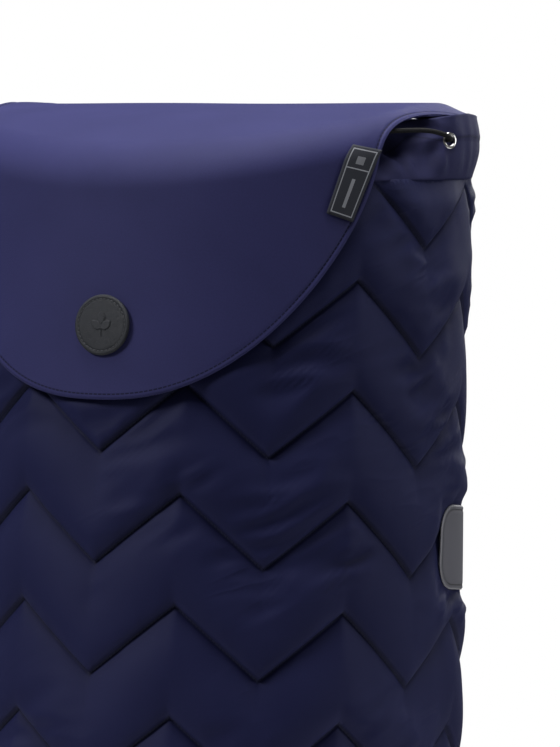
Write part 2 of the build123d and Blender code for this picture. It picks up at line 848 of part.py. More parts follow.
magnet_depth = (flap_gap - magnet_gap) / 2
with BuildPart() as closure_magnet:
    with BuildSketch(Plane.XZ.offset(bag_front + magnet_depth + magnet_gap)):
        with Locations((0, badge_height)):
            Circle(magnet_radius)
    extrude(amount=flap_gap)
    add(flap_inner, mode=Mode.INTERSECT)
finish(closure_magnet, "closure_magnet")

with BuildPart() as closure_plate:
    with BuildSketch(Plane.XZ.offset(bag_front + magnet_depth)):
        with Locations((0, badge_height)):
            Circle(magnet_radius)
    extrude(amount=-flap_gap)
    add(bag_shell.part.moved(stance.inverse()), mode=Mode.SUBTRACT)
finish(closure_plate, "closure_plate")

# ---- Handle ----

handle_radius = handle_diameter / 2
with BuildPart() as handle_bow:
    with BuildLine():
        FilletPolyline(
            (-rail_x, rail_y, handle_low),
            (-rail_x, rail_y, handle_high),
            (rail_x, rail_y, handle_high),
            (rail_x, rail_y, handle_low),
            radius=handle_corner,
        )
    with BuildSketch(Plane.XY.offset(handle_low)):
        with Locations((-rail_x, rail_y)):
            Circle(handle_radius)
            Circle(handle_radius - handle_wall, mode=Mode.SUBTRACT)
    sweep()
    # Holes in the back of each leg for the spring pins: pushed in, half way and fully out
    for pulled_out in (0, handle_travel / 2, handle_travel):
        with BuildSketch(rearward(0, rail_y, pin_height - pulled_out)):
            with Locations((rail_x, 0), (-rail_x, 0)):
                Circle(pin_radius + pin_gap)
        extrude(amount=handle_diameter, mode=Mode.SUBTRACT)
finish(handle_bow, "handle_bow")

with BuildPart() as handle_grip:
    with BuildSketch(across(-grip_length / 2, rail_y, handle_high)):
        Circle(grip_diameter / 2)
        Circle(handle_radius, mode=Mode.SUBTRACT)
    extrude(amount=grip_length)
    grip_ends = handle_grip.edges().filter_by(GeomType.CIRCLE).group_by(SortBy.RADIUS)[-1]
    fillet(grip_ends, grip_rounding)
finish(handle_grip, "handle_grip")

with BuildPart() as glide:
    with BuildSketch(Plane.XY.offset(handle_low)):
        with Locations((rail_x, rail_y)):
            Circle(rail_bore - glide_gap)
            Circle(handle_radius, mode=Mode.SUBTRACT)
    extrude(amount=glide_length)
finish_pair(glide, "handle_glide")

# ---- Rail collars and spring pins ----

collar_low = rail_top - collar_seat
collar_high = rail_top + collar_guide
with BuildPart() as rail_collar:
    with BuildSketch(Plane.XY.offset(collar_low)):
        with Locations((rail_x, rail_y)):
            Circle(collar_diameter / 2)
    extrude(amount=collar_high - collar_low)
    fillet(rail_collar.edges(), collar_rounding)
    with BuildSketch(rearward(rail_x, rail_y, pin_height)):
        Circle(boss_radius)
    extrude(amount=boss_length)
    with BuildSketch(Plane.XY.offset(collar_low)):
        with Locations((rail_x, rail_y)):
            Circle(rail_radius)
    extrude(amount=collar_seat, mode=Mode.SUBTRACT)
    with BuildSketch(Plane.XY.offset(collar_low)):
        with Locations((rail_x, rail_y)):
            Circle(handle_radius + guide_gap)
    extrude(amount=collar_high - collar_low, mode=Mode.SUBTRACT)
    with BuildSketch(rearward(rail_x, rail_y, pin_height)):
        Circle(pin_radius + pin_gap)
    extrude(amount=boss_length, mode=Mode.SUBTRACT)
    with BuildSketch(rearward(rail_x, rail_y + boss_bore_start, pin_height)):
        Circle(boss_bore)
    extrude(amount=boss_length, mode=Mode.SUBTRACT)
finish_pair(rail_collar, "rail_collar")

boss_end = rail_y + boss_length
with BuildPart() as boss_caps:
    with BuildSketch(rearward(rail_x, boss_end, pin_height)):
        Circle(boss_bore)
        Circle(pin_radius + pin_gap, mode=Mode.SUBTRACT)
    extrude(amount=-boss_cap_length)
    mirror(about=Plane.YZ)
finish(boss_caps, "boss_caps")

knob_start = boss_end + side_play
flange_start = rail_y + pin_flange_start
with BuildPart() as lock_knob:
    with BuildSketch(rearward(rail_x, rail_y + handle_radius + pin_tip_gap, pin_height)):
        Circle(pin_radius)
    extrude(amount=boss_length - handle_radius)
    with BuildSketch(rearward(rail_x, flange_start, pin_height)):
        Circle(pin_flange)
    extrude(amount=pin_flange_length)
    with BuildSketch(rearward(rail_x, knob_start, pin_height)):
        Circle(knob_radius)
    extrude(amount=knob_length)
    fillet(lock_knob.faces().sort_by(Axis.Y)[-1].edges(), knob_rounding)
finish_pair(lock_knob, "lock_knob")

pin_spring_start = flange_start + pin_flange_length + spring_gap + spring_wire / 2
pin_spring_end = boss_end - boss_cap_length - spring_gap - spring_wire / 2
pin_spring_length = pin_spring_end - pin_spring_start
with BuildPart() as pin_spring:
    coil_radius = (boss_bore + pin_radius) / 2
    coil_start = (rail_x, pin_spring_start, pin_height)
    with BuildLine() as pin_spring_line:
        Helix(pin_spring_length / spring_turns, pin_spring_length, coil_radius, coil_start, (0, 1, 0))
    with BuildSketch(Plane(origin=pin_spring_line.line @ 0, z_dir=pin_spring_line.line % 0)):
        Circle(spring_wire / 2)
    sweep(is_frenet=True)
finish_pair(pin_spring, "pin_spring")
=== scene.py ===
import bisect
import json
import math
import bmesh
import bpy
from mathutils import Matrix, Vector, kdtree, noise

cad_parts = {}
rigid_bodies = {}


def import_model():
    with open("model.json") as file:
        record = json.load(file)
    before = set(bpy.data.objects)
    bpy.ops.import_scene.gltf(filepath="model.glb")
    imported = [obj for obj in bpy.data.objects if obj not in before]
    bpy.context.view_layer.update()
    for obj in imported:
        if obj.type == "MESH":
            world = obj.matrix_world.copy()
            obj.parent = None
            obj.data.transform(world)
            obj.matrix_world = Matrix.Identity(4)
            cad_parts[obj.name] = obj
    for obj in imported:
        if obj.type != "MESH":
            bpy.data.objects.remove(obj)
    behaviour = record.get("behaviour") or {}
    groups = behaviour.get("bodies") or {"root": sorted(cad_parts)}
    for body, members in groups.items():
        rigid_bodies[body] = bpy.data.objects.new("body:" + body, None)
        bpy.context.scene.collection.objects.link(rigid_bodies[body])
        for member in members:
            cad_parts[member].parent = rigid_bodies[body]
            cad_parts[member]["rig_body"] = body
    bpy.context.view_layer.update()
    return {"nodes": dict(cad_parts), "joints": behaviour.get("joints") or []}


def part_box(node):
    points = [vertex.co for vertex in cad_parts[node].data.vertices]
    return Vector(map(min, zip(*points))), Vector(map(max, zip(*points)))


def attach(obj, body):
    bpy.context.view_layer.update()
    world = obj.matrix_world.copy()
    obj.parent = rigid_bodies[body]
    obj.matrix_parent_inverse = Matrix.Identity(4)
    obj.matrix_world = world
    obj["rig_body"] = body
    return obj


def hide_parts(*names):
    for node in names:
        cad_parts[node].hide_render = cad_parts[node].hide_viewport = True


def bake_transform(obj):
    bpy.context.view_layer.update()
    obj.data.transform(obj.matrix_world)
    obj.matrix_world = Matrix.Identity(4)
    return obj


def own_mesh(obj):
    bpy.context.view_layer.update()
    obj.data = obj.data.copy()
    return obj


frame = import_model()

print("stage: frame loaded")

# The bag is drawn upright, in metres, with z up from its underside and its front towards -Y.
# stand leans it back to where the frame's rails lean.
joints = {joint["name"]: joint for joint in frame["joints"]}
railAxis = Vector(joints["handle_slide"]["axis"])
lean = math.atan2(railAxis.y, railAxis.z)
hingeY, hingeZ = 0.107, 0.6095
stand = (
    Matrix.Translation(joints["flap_hinge"]["pos_m"])
    @ Matrix.Rotation(-lean, 4, "X")
    @ Matrix.Translation((0, -hingeY, -hingeZ))
)

# ---------- camera, floor and light ----------

view = {
    "height": 0.315,  # of the bag's axis point that it is aimed from
    "across": 0.0615,
    "up": 0.0935,
    "azimuth": 26.1,
    "elevation": 3.15,
    "distance": 3.468,
    "lens": 229.5,
}


def makeCamera():
    camera = bpy.data.objects.new("camera", bpy.data.cameras.new("camera"))
    bpy.context.scene.collection.objects.link(camera)
    bpy.context.scene.camera = camera
    camera.data.lens = view["lens"]
    camera.data.clip_end = 50
    azimuth, elevation = math.radians(view["azimuth"]), math.radians(view["elevation"])
    aim = stand @ Vector((0, 0, view["height"])) + Vector((view["across"], 0, view["up"]))
    away = Vector((math.sin(azimuth), -math.cos(azimuth), math.tan(elevation))).normalized()
    camera.location = aim + away * view["distance"]
    camera.rotation_euler = (-away).to_track_quat("-Z", "Y").to_euler()


lights = {
    # name: (place, aimed at, size, watts, colour)
    "topSoftbox": ((0.1, 0.1, 2.3), (0, 0, 0.5), 1.6, 58, (1.0, 0.99, 1.0)),
    "frontLeft": ((-1.4, -1.9, 2.3), (0, 0, 0.42), 0.9, 56, (1.0, 1.0, 1.0)),
    "rightRim": ((2.1, 0.7, 0.9), (0.1, 0, 0.4), 1.0, 14, (0.95, 0.97, 1.0)),
    "backFill": ((0.2, 2.4, 1.4), (0, 0, 0.4), 1.6, 18, (1.0, 1.0, 1.0)),
}


def makeLights():
    for name, (place, target, size, watts, colour) in lights.items():
        lamp = bpy.data.lights.new(name, "AREA")
        lamp.shape = "DISK"
        lamp.size = size
        lamp.energy = watts
        lamp.color = colour
        holder = bpy.data.objects.new(name, lamp)
        holder.location = place
        holder.rotation_euler = (Vector(target) - Vector(place)).to_track_quat("-Z", "Y").to_euler()
        bpy.context.scene.collection.objects.link(holder)
    world = bpy.data.worlds.new("studio")
    bpy.context.scene.world = world
    world.use_nodes = True
    tree = world.node_tree
    background = tree.nodes["Background"]
    seen = tree.nodes.new("ShaderNodeLightPath")
    level = tree.nodes.new("ShaderNodeMapRange")
    level.inputs["To Min"].default_value = 0.09
    level.inputs["To Max"].default_value = 1.0
    tree.links.new(seen.outputs["Is Camera Ray"], level.inputs["Value"])
    tree.links.new(level.outputs["Result"], background.inputs["Strength"])
    background.inputs["Color"].default_value = (1, 1, 1, 1)
    bpy.context.scene.view_settings.view_transform = "Standard"


# ---------- shader helpers ----------


class Value:
    # One socket, so that shader maths reads as Python
    def __init__(self, tree, socket):
        self.tree = tree
        self.socket = socket

    def combine(self, operation, *others, clamp=False):
        node = self.tree.nodes.new("ShaderNodeMath")
        node.operation = operation
        node.use_clamp = clamp
        for slot, value in zip(node.inputs, (self,) + others):
            if isinstance(value, Value):
                self.tree.links.new(value.socket, slot)
            else:
                slot.default_value = value
        return Value(self.tree, node.outputs[0])

    def __add__(self, other):
        return self.combine("ADD", other)

    def __radd__(self, other):
        return self.combine("ADD", other)

    def __sub__(self, other):
        return self.combine("SUBTRACT", other)

    def __rsub__(self, other):
        return self.combine("MULTIPLY", -1).combine("ADD", other)

    def __mul__(self, other):
        return self.combine("MULTIPLY", other)

    def __rmul__(self, other):
        return self.combine("MULTIPLY", other)

    def __truediv__(self, other):
        return self.combine("DIVIDE", other)

    def __lt__(self, other):
        return self.combine("LESS_THAN", other)

    def __gt__(self, other):
        return self.combine("GREATER_THAN", other)

    def __pow__(self, other):
        return self.combine("POWER", other)

    def sine(self):
        return self.combine("SINE")

    def fraction(self):
        return self.combine("FRACT")

    def size(self):
        return self.combine("ABSOLUTE")

    def limited(self):
        return self.combine("ADD", 0, clamp=True)


class Finish:
    # A material under construction: its shader, and methods that add nodes
    def __init__(self, name, colour, constants):
        self.material = bpy.data.materials.new(name)
        self.material.use_nodes = True
        self.tree = self.material.node_tree
        self.shader = self.tree.nodes["Principled BSDF"]
        self.shader.inputs["Base Color"].default_value = (*colour, 1)
        for key, value in constants.items():
            self.shader.inputs[key].default_value = value

    def node(self, kind, settings, inputs, output=0):
        made = self.tree.nodes.new(kind)
        for key, value in settings.items():
            setattr(made, key, value)
        for key, value in inputs.items():
            self.feed(made.inputs[key], value)
        return Value(self.tree, made.outputs[output])

    def feed(self, slot, value):
        if isinstance(value, Value):
            self.tree.links.new(value.socket, slot)
        else:
            slot.default_value = value

    def place(self):
        return self.node("ShaderNodeTexCoord", {}, {}, "Object")

    def sheetPlace(self):
        return self.node("ShaderNodeUVMap", {"uv_map": "cloth"}, {})

    def attribute(self, name):
        return self.node("ShaderNodeAttribute", {"attribute_name": name}, {}, "Fac")

    def noise(self, where, scale, detail=3.0, roughness=0.5):
        inputs = {"Vector": where, "Scale": scale, "Detail": detail, "Roughness": roughness}
        return self.node("ShaderNodeTexNoise", {}, inputs)

    def axes(self, where):
        split = self.tree.nodes.new("ShaderNodeSeparateXYZ")
        self.tree.links.new(where.socket, split.inputs[0])
        return [Value(self.tree, out) for out in split.outputs]

    def mixed(self, factor, first, second):
        made = self.tree.nodes.new("ShaderNodeMix")
        made.data_type = "RGBA"
        for index, value in ((0, factor), (6, first), (7, second)):
            if isinstance(value, tuple):
                value = (*value, 1)
            self.feed(made.inputs[index], value)
        return Value(self.tree, made.outputs[2])

    def paint(self, key, value):
        self.feed(self.shader.inputs[key], value)

    def vector(self, x, y, z):
        return self.node("ShaderNodeCombineXYZ", {}, {"X": x, "Y": y, "Z": z})

    def bump(self, height, strength, distance, under=None):
        # under is a coarser relief of the same kind: height, strength and distance
        inputs = {"Height": height, "Strength": strength, "Distance": distance}
        if under:
            coarse = dict(zip(("Height", "Strength", "Distance"), under))
            inputs["Normal"] = self.node("ShaderNodeBump", {}, coarse)
        normal = self.node("ShaderNodeBump", {}, inputs)
        self.feed(self.shader.inputs["Normal"], normal)


def dashes(finish, distance, along, place, width, pitch):
    # Mask of a line of stitches: distance from the line's path, and how far along it, in metres
    across = (distance - place).size() < width
    lit = (along / pitch).fraction() < 0.72
    return across * lit


def weave(finish, where, pitch, slant):
    # Height of a twill: threads crossing, with a diagonal step
    u, v, _ = finish.axes(where)
    warp = ((u + v * slant) * (2 * math.pi / pitch)).sine()
    weft = ((v - u * slant) * (2 * math.pi / pitch)).sine()
    return warp * weft


# ---------- materials ----------


def clothFinish(name, colour, light, sheen, pitch, roughness, stitch=None):
    # Dyed woven cloth, a little uneven, with its line of stitches if it has one, and painted shade in the groove along
    # those stitches
    finish = Finish(name, colour, {
        "Roughness": roughness, "Sheen Weight": sheen, "Sheen Roughness": 0.35,
        "Sheen Tint": (0.55, 0.6, 1.0, 1), "Specular IOR Level": 0.06,
    })
    where = finish.sheetPlace()
    cloud = finish.noise(where, 14, 4)
    fine = finish.noise(where, 900, 2)
    shade = ((cloud + fine - 1) * 1.3 + 0.5).limited()
    painted = finish.mixed(shade, colour, light)
    height = weave(finish, where, pitch, 0.35) * 0.5 + fine * 0.6
    if stitch:
        line = dashes(finish, finish.attribute("edgeGap"), finish.attribute("edgeRun"), *stitch["line"])
        groove = (finish.attribute("edgeGap") - stitch["line"][0]).size() < stitch["groove"]
        # painted shade: the groove along the stitches is darkened towards the stitch's dark colour
        painted = finish.mixed(groove * 0.3, painted, stitch["dark"])
        painted = finish.mixed(line * 0.8, painted, stitch["thread"])
        height = height + line * 3 - groove * 2
    finish.paint("Base Color", painted)
    finish.bump(height, 0.35, 0.00025)
    return finish.material


def creased(finish, where, across, along):
    # Ridges of soft creases that run aslant, patchy, from 0 to 1
    u, v, _ = finish.axes(where)
    slant = finish.vector((u * 0.91 + v * 0.42) * along, (v * 0.91 - u * 0.42) * across, 0.0)
    rough = finish.node("ShaderNodeTexNoise", {}, {"Vector": slant, "Scale": 1.0, "Detail": 1.0, "Distortion": 0.4})
    ridge = 1 - (rough * 2 - 1).size() * 2.4
    patches = ((finish.noise(where, 13, 2) - 0.47) * 5).limited()
    sides = (u.size() * 6 - 0.45).limited() * 0.75 + 0.25
    return ridge.limited() * patches * sides


def quiltFinish():
    finish = Finish("quiltCloth", quiltColour["base"], {
        "Roughness": 0.50, "Sheen Weight": 0.03, "Sheen Roughness": 0.35,
        "Sheen Tint": (0.6, 0.65, 1.0, 1), "Specular IOR Level": 0.08,
    })
    where = finish.sheetPlace()
    cloud = finish.noise(where, 9, 4)
    fine = finish.noise(where, 1100, 2)
    painted = finish.mixed(((cloud + fine - 1) * 1.2 + 0.5).limited(), quiltColour["base"], quiltColour["light"])
    gap = finish.attribute("stitchGap")
    run = finish.attribute("stitchRun")
    groove = (1 - gap / 0.0022).limited()
    # painted shade: the stitch grooves are darkened towards quiltColour's dark, standing in for the shade of the puffs
    # over them
    painted = finish.mixed(groove * 0.75, painted, quiltColour["dark"])
    thread = dashes(finish, gap, run, 0, 0.00055, 0.0032)
    painted = finish.mixed(thread * 0.7, painted, quiltColour["thread"])
    creases = creased(finish, where, 62, 17)
    # painted sheen: the crease ridges are lightened towards quiltColour's crease, as if light caught them
    painted = finish.mixed(creases * 0.30, painted, quiltColour["crease"])
    finish.paint("Base Color", painted)
    height = weave(finish, where, 0.0007, 0.3) * 0.4 + fine * 0.5 + thread * 2 - groove * 2
    finish.bump(height, 0.35, 0.0003, (creases, 0.45, 0.0022))
    return finish.material


quiltColour = {
    "base": (0.0105, 0.0120, 0.0460),
    "light": (0.0165, 0.0185, 0.0640),
    # crease is a painted sheen on the crease ridges
    "crease": (0.0230, 0.0260, 0.0780),
    # dark is painted shade for the stitch grooves
    "dark": (0.0040, 0.0045, 0.0120),
    "thread": (0.0200, 0.0220, 0.0500),
}


def leatherFinish():
    finish = Finish("embossedLeather", (0.012, 0.014, 0.018), {"Roughness": 0.48, "Specular IOR Level": 0.35})
    where = finish.place()
    grain = finish.node("ShaderNodeTexVoronoi", {"feature": "DISTANCE_TO_EDGE"}, {"Vector": where, "Scale": 1300})
    cloud = finish.noise(where, 160, 3)
    finish.paint("Base Color", finish.mixed(cloud, (0.010, 0.012, 0.017), (0.028, 0.031, 0.039)))
    finish.paint("Roughness", cloud * 0.25 + 0.38)
    finish.bump(grain * 3 + cloud * 0.4, 0.5, 0.0003)
    return finish.material


def labelFinish():
    # Woven label: dark ground, a thin light frame and a divider, seen in the piece's own map
    finish = Finish("wovenLabel", (0.025, 0.027, 0.035), {"Roughness": 0.75, "Specular IOR Level": 0.15})
    where = finish.sheetPlace()
    u, v, _ = finish.axes(where)
    wide, high, margin, line = label["width"], label["height"], label["margin"], label["line"]
    inFrame = ((u > margin) * (u < wide - margin)) * ((v > margin) * (v < high - margin))
    rim = margin + line
    inside = ((u > rim) * (u < wide - rim)) * ((v > rim) * (v < high - rim))
    divider = (v - high * 0.68).size() < line / 2
    mark = inFrame - inside + inside * divider
    barHeight = ((v - high * 0.34).size() < high * 0.20) * ((u - wide * 0.5).size() < line * 1.6)
    squareGap = ((v - high * 0.80).size() < high * 0.055) * ((u - wide * 0.5).size() < high * 0.055)
    mark = (mark + barHeight * 0.8 + squareGap * 0.6).limited()
    fine = finish.noise(where, 2500, 2)
    ground = finish.mixed(fine, (0.022, 0.024, 0.032), (0.040, 0.043, 0.054))
    finish.paint("Base Color", finish.mixed(mark, ground, (0.30, 0.31, 0.34)))
    ribs = (v * (2 * math.pi / 0.0006)).sine()
    finish.bump(ribs * 0.5 + mark, 0.4, 0.0002)
    return finish.material


def patchFinish():
    finish = Finish("greyPatch", (0.10, 0.10, 0.12), {"Roughness": 0.5, "Specular IOR Level": 0.4})
    where = finish.sheetPlace()
    fine = finish.noise(where, 1500, 2)
    gap = finish.attribute("edgeGap")
    run = finish.attribute("edgeRun")
    ground = finish.mixed(fine, (0.085, 0.085, 0.10), (0.115, 0.115, 0.135))
    rim = (1 - gap / 0.0014).limited()
    seam = (gap - 0.0034).size() < 0.0005
    painted = finish.mixed(rim * 0.8, ground, (0.36, 0.36, 0.38))
    painted = finish.mixed(seam * 0.8, painted, (0.02, 0.02, 0.024))
    finish.paint("Base Color", painted)
    thread = dashes(finish, gap, run, 0.0034, 0.0006, 0.0028)
    finish.bump(fine * 0.4 - seam * 2 + thread * 1.5, 0.4, 0.0003)
    return finish.material


def cordFinish():
    finish = Finish("braidedCord", (0.006, 0.006, 0.007), {"Roughness": 0.7, "Specular IOR Level": 0.15})
    where = finish.sheetPlace()
    braid = weave(finish, where, 0.0022, 1.0)
    finish.paint("Base Color", finish.mixed((braid * 0.5 + 0.5).limited(), (0.004, 0.004, 0.005), (0.014, 0.014, 0.016)))
    finish.bump(braid, 0.7, 0.0004)
    return finish.material


def metalFinish(name, dark, bright, roughness, spread):
    finish = Finish(name, bright, {"Metallic": 1.0, "Roughness": roughness})
    where = finish.place()
    smear = finish.noise(where, 220, 3)
    finish.paint("Base Color", finish.mixed(smear, dark, bright))
    finish.paint("Roughness", smear * spread + roughness)
    fine = finish.noise(where, 1800, 2)
    finish.bump(fine, 0.12, 0.0001)
    return finish.material


def paintFinish():
    # Powder coat: fine orange peel
    finish = Finish("powderCoat", (0.03, 0.031, 0.034), {"Roughness": 0.42, "Specular IOR Level": 0.5})
    where = finish.place()
    peel = finish.noise(where, 900, 2)
    cloud = finish.noise(where, 30, 3)
    finish.paint("Base Color", finish.mixed(cloud, (0.026, 0.027, 0.030), (0.038, 0.039, 0.043)))
    finish.paint("Roughness", cloud * 0.14 + 0.36)
    finish.bump(peel, 0.25, 0.0002)
    return finish.material


def plasticFinish(name, dark, light, roughness):
    # Moulded plastic with a fine spark texture
    finish = Finish(name, dark, {"Roughness": roughness, "Specular IOR Level": 0.45})
    where = finish.place()
    grain = finish.node("ShaderNodeTexVoronoi", {}, {"Vector": where, "Scale": 1600})
    cloud = finish.noise(where, 40, 3)
    finish.paint("Base Color", finish.mixed(cloud, dark, light))
    finish.paint("Roughness", cloud * 0.16 + roughness)
    finish.bump(grain, 0.2, 0.0002)
    return finish.material


def rubberFinish(name, pores):
    finish = Finish(name, (0.012, 0.012, 0.013), {"Roughness": 0.8, "Specular IOR Level": 0.35})
    where = finish.place()
    cloud = finish.noise(where, 60, 4)
    cells = finish.node("ShaderNodeTexVoronoi", {}, {"Vector": where, "Scale": pores})
    finish.paint("Base Color", finish.mixed(cloud, (0.008, 0.008, 0.009), (0.022, 0.022, 0.024)))
    finish.paint("Roughness", cloud * 0.2 + 0.68)
    finish.bump(cells * 0.8 + cloud * 0.3, 0.35, 0.0003)
    return finish.material


def webbingFinish():
    finish = Finish("webbing", (0.010, 0.010, 0.012), {"Roughness": 0.75, "Sheen Weight": 0.3})
    x, y, z = finish.axes(finish.place())
    ribs = (x * (2 * math.pi / 0.0016)).sine() * 0.6 + ((y + z) * (2 * math.pi / 0.0020)).sine() * 0.4
    finish.paint("Base Color", finish.mixed((ribs * 0.5 + 0.5).limited(), (0.006, 0.006, 0.008), (0.020, 0.020, 0.023)))
    finish.bump(ribs, 0.5, 0.0004)
    return finish.material


def floorFinish():
    # Pale floor that fades into the white backdrop
    finish = Finish("floorPaint", (0.86, 0.86, 0.86), {"Roughness": 0.9})
    x, y, _ = finish.axes(finish.place())
    far = (x * x + y * y) ** 0.5
    finish.paint("Alpha", ((0.95 - far) / 0.55).limited())
    cloud = finish.noise(finish.place(), 3, 3)
    finish.paint("Base Color", finish.mixed(cloud, (0.84, 0.84, 0.84), (0.88, 0.88, 0.88)))
    return finish.material


# ---------- bag geometry ----------

bag = {
    "halfWidth": 0.190,
    "front": 0.168,
    "back": 0.112,
    "corner": 0.096,
    "wall": 0.009,
    "seam": 0.5525,  # height of the seam under the collar, beside the axis
    "seamSlope": 0.106,
}


def halfOutline():
    # Right half of the bag's plan, from the middle of the front to the middle of the back
    points = []
    for step in range(241):
        angle = math.pi / 2 * (step / 240 - 1)
        points.append((bag["halfWidth"] * math.cos(angle), bag["front"] * math.sin(angle)))
    turnX, turnY = bag["halfWidth"] - bag["corner"], bag["back"] - bag["corner"]
    for step in range(61):
        angle = math.pi / 2 * step / 60
        points.append((turnX + bag["corner"] * math.cos(angle), turnY + bag["corner"] * math.sin(angle)))
    points.append((0, bag["back"]))
    runs = [0.0]
    for before, after in zip(points, points[1:]):
        runs.append(runs[-1] + math.dist(before, after))
    return points, runs


outlinePoints, outlineRuns = halfOutline()
halfLength = outlineRuns[-1]


def plainOutline(run):
    run = min(max(run, 0), halfLength)
    index = min(max(bisect.bisect(outlineRuns, run), 1), len(outlineRuns) - 1)
    share = (run - outlineRuns[index - 1]) / (outlineRuns[index] - outlineRuns[index - 1])
    first, second = outlinePoints[index - 1], outlinePoints[index]
    return first[0] + (second[0] - first[0]) * share, first[1] + (second[1] - first[1]) * share


def outlineAt(run, out=0.0):
    # Point on the bag's plan: run is from the middle of the front, positive to the right, out is outwards
    side = 1 if run >= 0 else -1
    run = abs(run)
    x, y = plainOutline(run)
    x0, y0 = plainOutline(run - 0.002)
    x1, y1 = plainOutline(run + 0.002)
    length = math.hypot(x1 - x0, y1 - y0)
    normalX, normalY = (y1 - y0) / length, -(x1 - x0) / length
    return side * (x + normalX * out), y + normalY * out


def smooth(low, high, value):
    t = min(max((value - low) / (high - low), 0), 1)
    return t * t * (3 - 2 * t)


def mixNumber(first, second, share):
    return first + (second - first) * share


def seamHeight(y):
    return bag["seam"] + bag["seamSlope"] * y


def addPiece(name, bm, material, body, node, matrix=stand, smoothShade=True):
    # Turns a bmesh into a finished piece that rides on its body and stands for a CAD node
    mesh = bpy.data.meshes.new(name)
    bm.to_mesh(mesh)
    bm.free()
    mesh.transform(matrix)
    if smoothShade:
        mesh.polygons.foreach_set("use_smooth", [True] * len(mesh.polygons))
    mesh.materials.append(material)
    piece = bpy.data.objects.new(name, mesh)
    bpy.context.scene.collection.objects.link(piece)
    if body:
        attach(piece, body)
    if node:
        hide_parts(*node)
    return piece


def gridSheet(columns, rows):
    # Flat grid from 0 to 1 both ways, with a map called cloth
    bm = bmesh.new()
    uv = bm.loops.layers.uv.new("cloth")
    bmesh.ops.create_grid(bm, x_segments=columns, y_segments=rows, size=0.5)
    bmesh.ops.translate(bm, verts=bm.verts, vec=(0.5, 0.5, 0))
    return bm, uv


def edgeMeasures(bm, isEdge):
    # Distance of each vertex from the chosen border, and how far along the border the nearest point is
    gap = bm.verts.layers.float.new("edgeGap")
    along = bm.verts.layers.float.new("edgeRun")
    border = [edge for edge in bm.edges if edge.is_boundary and isEdge(edge)]
    joined = {}
    for edge in border:
        for vert in edge.verts:
            joined.setdefault(vert, []).append(edge)
    ends = [vert for vert, edges in joined.items() if len(edges) == 1]
    start = ends[0] if ends else border[0].verts[0]
    total, current, seen = 0.0, start, set()
    marks = []
    while True:
        following = [edge for edge in joined[current] if edge not in seen]
        if not following:
            break
        edge = following[0]
        seen.add(edge)
        after, length = edge.other_vert(current), edge.calc_length()
        pieces = max(math.ceil(length / 0.0003), 1)
        marks += [(current.co.lerp(after.co, n / pieces), total + length * n / pieces) for n in range(pieces + 1)]
        current = after
        total += length
    tree = kdtree.KDTree(len(marks))
    for index, (place, _) in enumerate(marks):
        tree.insert(place, index)
    tree.balance()
    for vert in bm.verts:
        _, index, distance = tree.find(vert.co)
        vert[gap] = distance
        vert[along] = marks[index][1]
    return gap, along


# ---------- quilted bag ----------

quilt = {
    "zig": 0.0614,  # width of half a zigzag
    "pitch": 0.0781,  # from one line of stitches to the next
    "swing": 0.0504,  # height of a zigzag
    "peak": 0.315,  # height of one line's peaks
    "puff": 0.0088,
    "sunk": -0.0034,  # the stitches, from the bag's outline
    "perZig": 20,  # columns in half a zigzag
    "perBand": 22,
    "bandLow": -5,
    "bandHigh": 4,
}
halfZig = quilt["zig"]
stitchLean = math.atan2(quilt["swing"], halfZig)

patch = {"low": 0.257, "high": 0.318, "front": 0.0, "back": 0.070, "corner": 0.020, "out": 0.0010}


def zigzag(run):
    t = (abs(run) / halfZig) % 2
    return quilt["swing"] * ((t if t < 1 else 2 - t) - 1)


def flapShade(x, y, z):
    # 1 under the flap, 0 clear of it
    if y > -0.05:
        return 0.0
    inside = (x / 0.171) ** 2 + (min(z - 0.565, 0) / 0.186) ** 2
    return 1 - smooth(0.85, 1.1, inside)


def patchShade(run, y, z):
    if y < patch["front"] - 0.03 or y > patch["back"] + 0.03:
        return 0.0
    inY = smooth(patch["front"] - 0.014, patch["front"] + 0.002, y) * (1 - smooth(patch["back"], patch["back"] + 0.014, y))
    inZ = smooth(patch["low"] - 0.014, patch["low"], z) * (1 - smooth(patch["high"], patch["high"] + 0.014, z))
    return inY * inZ


def tuckAt(y, z):
    # The back corners are drawn in at the top and bulge lower down
    inward = mixNumber(-0.0035, 0.0045, smooth(0.16, 0.48, z)) * (1 - 0.5 * smooth(0.49, 0.55, z))
    return inward * smooth(0.0, 0.06, y) * (1 - smooth(bag["back"] - 0.012, bag["back"], y))


